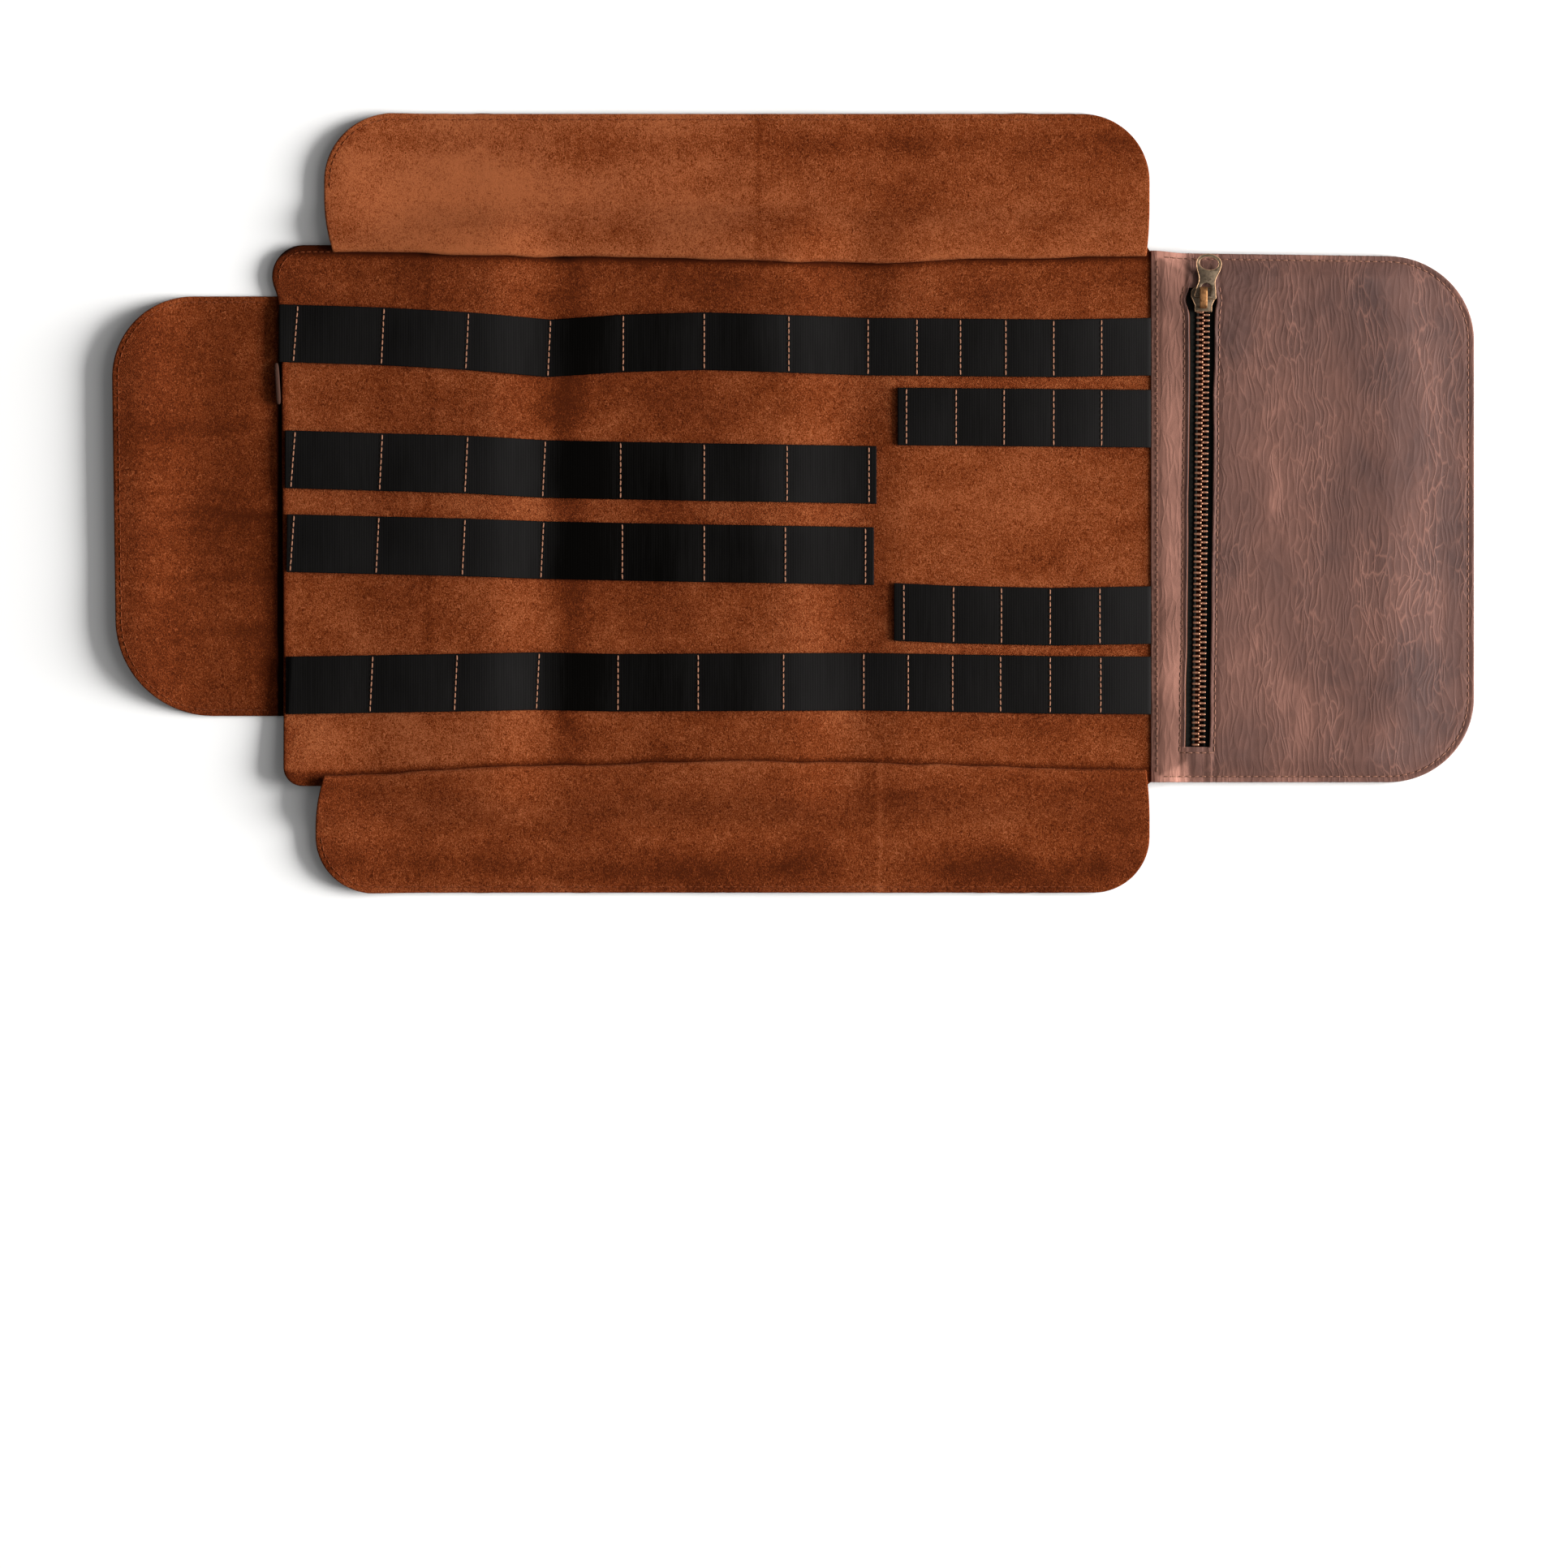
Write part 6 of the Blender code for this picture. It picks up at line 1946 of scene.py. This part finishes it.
@dataclass
class ElasticBand:
    """A woven elastic band, sewn down at its stitches and bowed up between them."""

    plan: RollPlan
    finishes: Wardrobe
    node: str
    route: tuple[tuple[float, float], ...]
    stitches: tuple[float, ...]
    width: float = 0.0256
    thickness: float = 0.0012
    clearance: float = 0.0004
    bow_share: float = 0.024
    # Lighter and darker stripes along the loops that follow the panel's ripples: painted light and shade.
    marks: tuple[ToneRow, ...] = (
        ToneRow(0.345, 0.040, -1.35), ToneRow(0.255, 0.045, 0.45), ToneRow(0.435, 0.045, -0.75),
        ToneRow(0.530, 0.030, -0.60), ToneRow(0.600, 0.045, 0.45), ToneRow(0.980, 0.060, 0.90),
        ToneRow(0.040, 0.030, -0.20),
    )
    leans: tuple[tuple[float, float], ...] = (
        (-0.02, 0.0), (0.004, 0.0), (0.014, 0.080), (0.10, 0.050), (0.30, 0.050), (0.40, 0.0), (1.02, 0.0),
    )

    @property
    def stops(self) -> Array:
        """X of the band's ends and stitches."""
        places = [self.route[0][0], *self.stitches, self.route[-1][0]]
        return thinned(np.array([self.plan.x_at(place) for place in places]), 0.0005)

    def middle_y(self, x: Array) -> Array:
        """Middle line, straight from row to row of the route."""
        share = (x - self.plan.crease_x) / self.plan.length
        table = np.array(self.route)
        return self.plan.y_at(np.interp(share, table[:, 0], table[:, 1]))

    def leant_x(self, x: Array, offset: Array) -> Array:
        """X after the stitch columns' slant, which grows with the distance off the middle."""
        return x + follow(self.leans, (x - self.plan.crease_x) / self.plan.length) * offset

    def bow(self, x: Array) -> Array:
        """Rise of each loop: a share of its length times the sine, flattened on top."""
        stops = self.stops
        index = np.clip(np.searchsorted(stops, x, side="right") - 1, 0, len(stops) - 2)
        span = stops[index + 1] - stops[index]
        share = np.clip((x - stops[index]) / span, 0.0, 1.0)
        return self.bow_share * span * np.sin(math.pi * share) ** 0.85

    def top_z(self, x: Array, offset: Array) -> Array:
        """Height of the band's upper side."""
        y = self.middle_y(x) + offset
        edge = np.abs(offset) / (self.width / 2)
        sag = 0.00025 * edge ** 4
        return (self.plan.panel_top(self.leant_x(x, offset), y) + self.clearance + self.thickness
                + self.bow(x) * (1.0 - 0.12 * edge ** 2) - sag)

    def build(self) -> Array:
        """Makes the band.

        Returns:
            The lines of stitches that hold it down.
        """
        stops = self.stops
        runs = [np.linspace(low, high, 15)[:-1] for low, high in zip(stops, stops[1:])]
        columns = np.concatenate([*runs, stops[-1:]])
        half = self.width / 2
        rows = edged_range(-half, half, 0.0022, (0.0, 0.0))
        x = np.repeat(columns[None, :], len(rows), axis=0)
        offset = np.repeat(rows[:, None], len(columns), axis=1)
        top_z = self.top_z(x, offset)
        y = self.middle_y(x) + offset
        placed_x = self.leant_x(x, offset)
        edge = np.minimum(half - np.abs(offset), np.minimum(x - stops[0], stops[-1] - x) + 0.0002)
        roll = rolled(np.maximum(edge, 0.0), self.thickness * 0.45)
        share = (x - self.plan.crease_x) / self.plan.length
        # Tone: random changes plus the painted light and shade of the marks.
        tone = 0.30 * layered(x / 0.03, y / 0.03, 91.0) + stripes(share, self.marks)
        band = put_sheet(self.node + "_web", placed_x, y, top_z - roll, top_z - self.thickness + roll,
                         self.finishes.get("elastic_web") * 3, tone)
        dress(band, nodes=[self.node])
        lines = []
        for place in self.stitches:
            across = np.linspace(half - 0.0004, -half + 0.0004, 16)
            at = np.full_like(across, self.plan.x_at(place))
            lines.append(np.stack([self.leant_x(at, across), self.middle_y(at) + across,
                                   self.top_z(at, across)], -1))
        return lines


class BandRow(NamedTuple):
    """A band: its node, its middle line and its stitches, in shares of the panel."""

    node: str
    route: tuple[tuple[float, float], ...]
    stitches: tuple[float, ...]


BANDS = (
    BandRow("elastic_top",
            ((-0.003, 0.837), (0.116, 0.831), (0.213, 0.822), (0.307, 0.809), (0.392, 0.818),
             (0.485, 0.822), (0.673, 0.812), (0.886, 0.809), (0.998, 0.812)),
            (0.016, 0.116, 0.213, 0.307, 0.392, 0.485, 0.582, 0.673, 0.729, 0.779, 0.831, 0.886, 0.941)),
    BandRow("elastic_upper",
            ((0.004, 0.604), (0.212, 0.594), (0.301, 0.586), (0.485, 0.580), (0.683, 0.575)),
            (0.013, 0.114, 0.212, 0.301, 0.389, 0.485, 0.580, 0.674)),
    BandRow("elastic_middle",
            ((0.006, 0.449), (0.209, 0.441), (0.299, 0.436), (0.485, 0.430), (0.680, 0.425)),
            (0.012, 0.110, 0.209, 0.299, 0.391, 0.485, 0.578, 0.670)),
    BandRow("elastic_bottom",
            ((0.005, 0.186), (0.200, 0.191), (0.294, 0.194), (0.386, 0.191), (0.668, 0.193),
             (0.882, 0.187), (0.998, 0.186)),
            (0.103, 0.200, 0.294, 0.386, 0.478, 0.576, 0.668, 0.719, 0.770, 0.825, 0.882, 0.940)),
    BandRow("elastic_short_upper", ((0.707, 0.683), (0.998, 0.679)),
            (0.717, 0.774, 0.829, 0.886, 0.941)),
    BandRow("elastic_short_lower",
            ((0.703, 0.322), (0.771, 0.317), (0.882, 0.313), (0.998, 0.316)),
            (0.714, 0.771, 0.826, 0.882, 0.939)),
)


@dataclass
class LoopRows:
    """The six bands of loops, with the stitching that shows inside and outside."""

    plan: RollPlan
    finishes: Wardrobe
    sewer: Sewer

    def build(self) -> None:
        """Makes the bands, their stitches and the same stitches on the outside."""
        inside = []
        for row in BANDS:
            inside += ElasticBand(self.plan, self.finishes, *row).build()
        self.sewer.sew("loop_stitches", inside, "tan_thread", Slot.ELASTIC)
        outside = []
        for line in inside:
            below = line.copy()
            below[:, 2] = self.plan.panel_under(line[:, 0], line[:, 1])
            outside.append(below)
        self.sewer.sew("loop_stitches_outside", outside, "tan_thread", Slot.SUEDE, up=-1.0)


@dataclass
class Strap:
    """A closing strap that lies flat under the panel, from the spine to its round end."""

    plan: RollPlan
    finishes: Wardrobe
    node: str
    spacing: float = 0.0030

    def build(self) -> None:
        """Makes the strap."""
        plan = self.plan
        low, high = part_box(self.node)
        half = (high.y - low.y) / 2
        middle = (high.y + low.y) / 2
        rows = edged_range(low.y, high.y, self.spacing, (half, half))
        columns = edged_range(0.0, high.x - low.x, self.spacing, (0.0, 0.0))
        y = np.repeat(rows[:, None], len(columns), axis=1)
        left = low.x + half - np.sqrt(np.maximum(half ** 2 - (y - middle) ** 2, 0.0))
        x = left + (high.x - left) * columns[None, :] / columns[-1]
        edge = inside_distance(x, y, (low.x, high.x, low.y, high.y), (half, 0.0, half, 0.0))
        roll = rolled(edge)
        strap = put_sheet(self.node + "_leather", x, y, plan.leather - roll * 0.4, roll,
                          self.finishes.get("suede", "strap_grain", "cut_edge"),
                          0.4 * layered(x / 0.03, y / 0.02, 97.0))
        dress(strap, nodes=[self.node])


class LampRow(NamedTuple):
    """A square lamp on the right: its height in degrees, its size and its power."""

    name: str
    elevation: float
    size: float
    power: float


@dataclass
class Studio:
    """Pale floor, soft light from the upper right, and a camera straight above."""

    picture_pixels: float = 1932.0
    metres_per_pixel: float = 0.00036
    picture_middle: tuple[float, float] = (966.0, 966.0)
    origin_pixel: tuple[float, float] = (977.5, 620.0)
    camera_height: float = 6.0
    sensor: float = 36.0
    true_height: float = 0.004
    lamp_distance: float = 4.0
    lamps: tuple[LampRow, ...] = (LampRow("key", 20.0, 2.3, 570.0), LampRow("fill", 50.0, 2.6, 40.0))
    air: float = 0.19
    paper_left: float = 0.87
    paper_right: float = 0.73
    paper_reach: float = 4.0
    paper_z: float = -0.0002
    warm_white: Colour = (1.0, 0.99, 0.975)

    def build(self) -> None:
        """Sets the stage."""
        self.build_floor()
        self.build_lights()
        self.build_camera()

    def build_floor(self) -> None:
        """A wide level sheet just under the roll, greyer towards the lamp so that it looks even."""
        corners = np.array([[-1.0, -1.0], [1.0, -1.0], [1.0, 1.0], [-1.0, 1.0]]) * self.paper_reach
        points = np.concatenate([corners, np.full((4, 1), self.paper_z)], axis=1)
        material, bench, shader = start_material("studio_paper", 0.9, specular=0.1)
        across = bench.node("SeparateXYZ", {0: bench.node("TexCoord").outputs["Object"]}).outputs["X"]
        pale, grey = (self.paper_left,) * 3, (self.paper_right,) * 3
        colour = bench.mix(bench.spread(across, -0.25, 0.0), pale, grey)
        bench.give(shader, Base_Color=colour)
        floor = put_mesh("studio_floor", points, [[0, 1, 2, 3]], [material])

    def build_lights(self) -> None:
        """A wide soft lamp low on the right, a weaker one above it, and pale surroundings."""
        for row in self.lamps:
            lamp = bpy.data.lights.new(row.name, "AREA")
            lamp.size, lamp.energy, lamp.color = row.size, row.power, self.warm_white
            angle = math.radians(row.elevation)
            place = Vector((math.cos(angle), 0.0, math.sin(angle))) * self.lamp_distance
            holder = bpy.data.objects.new(row.name, lamp)
            holder.location = place
            holder.rotation_euler = (-place).to_track_quat("-Z", "Y").to_euler()
            bpy.context.scene.collection.objects.link(holder)
        world = bpy.data.worlds.new("studio_air")
        world.use_nodes = True
        world.node_tree.nodes["Background"].inputs["Color"].default_value = (1.0, 1.0, 1.0, 1.0)
        world.node_tree.nodes["Background"].inputs["Strength"].default_value = self.air
        bpy.context.scene.world = world

    def build_camera(self) -> None:
        """A long lens straight above the picture's middle, true to size a little above the floor."""
        right = (self.picture_middle[0] - self.origin_pixel[0]) * self.metres_per_pixel
        up = (self.origin_pixel[1] - self.picture_middle[1]) * self.metres_per_pixel
        lens = bpy.data.cameras.new("camera")
        lens.sensor_width = self.sensor
        lens.lens = self.sensor * self.camera_height / (self.picture_pixels * self.metres_per_pixel)
        camera = bpy.data.objects.new("camera", lens)
        camera.location = (right, up, self.camera_height + self.true_height)
        bpy.context.scene.collection.objects.link(camera)
        bpy.context.scene.camera = camera
        bpy.context.scene.view_settings.view_transform = "Standard"


def main() -> None:
    """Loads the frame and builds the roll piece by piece."""
    logging.basicConfig(level=logging.INFO, format="%(name)s %(message)s")
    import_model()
    plan = RollPlan()
    finishes = Wardrobe()
    sewer = Sewer(finishes)
    ShortFlap(plan, finishes, sewer).build()
    for node in ("strap_upper", "strap_lower"):
        Strap(plan, finishes, node).build()
    MainPanel(plan, finishes, sewer).build()
    # The top flap's wide light stripes left of its middle are painted light.
    top_marks = (ToneRow(-0.0153, 0.0012, -0.4), ToneRow(-0.150, 0.07, 0.75), ToneRow(-0.05, 0.03, 0.45))
    bottom_marks = (ToneRow(0.0387, 0.0010, 0.6), ToneRow(0.0, 1.0, -0.26))
    LongFlap(plan, finishes, "top_flap", 1, sewer, 0.0300, top_marks).build()
    LongFlap(plan, finishes, "bottom_flap", -1, sewer, 0.0250, bottom_marks).build()
    pocket = Pocket(plan, finishes, sewer)
    pocket.build()
    Zip(plan, pocket, finishes).build()
    LoopRows(plan, finishes, sewer).build()
    Studio().build()


if __name__ == "__main__":
    main()
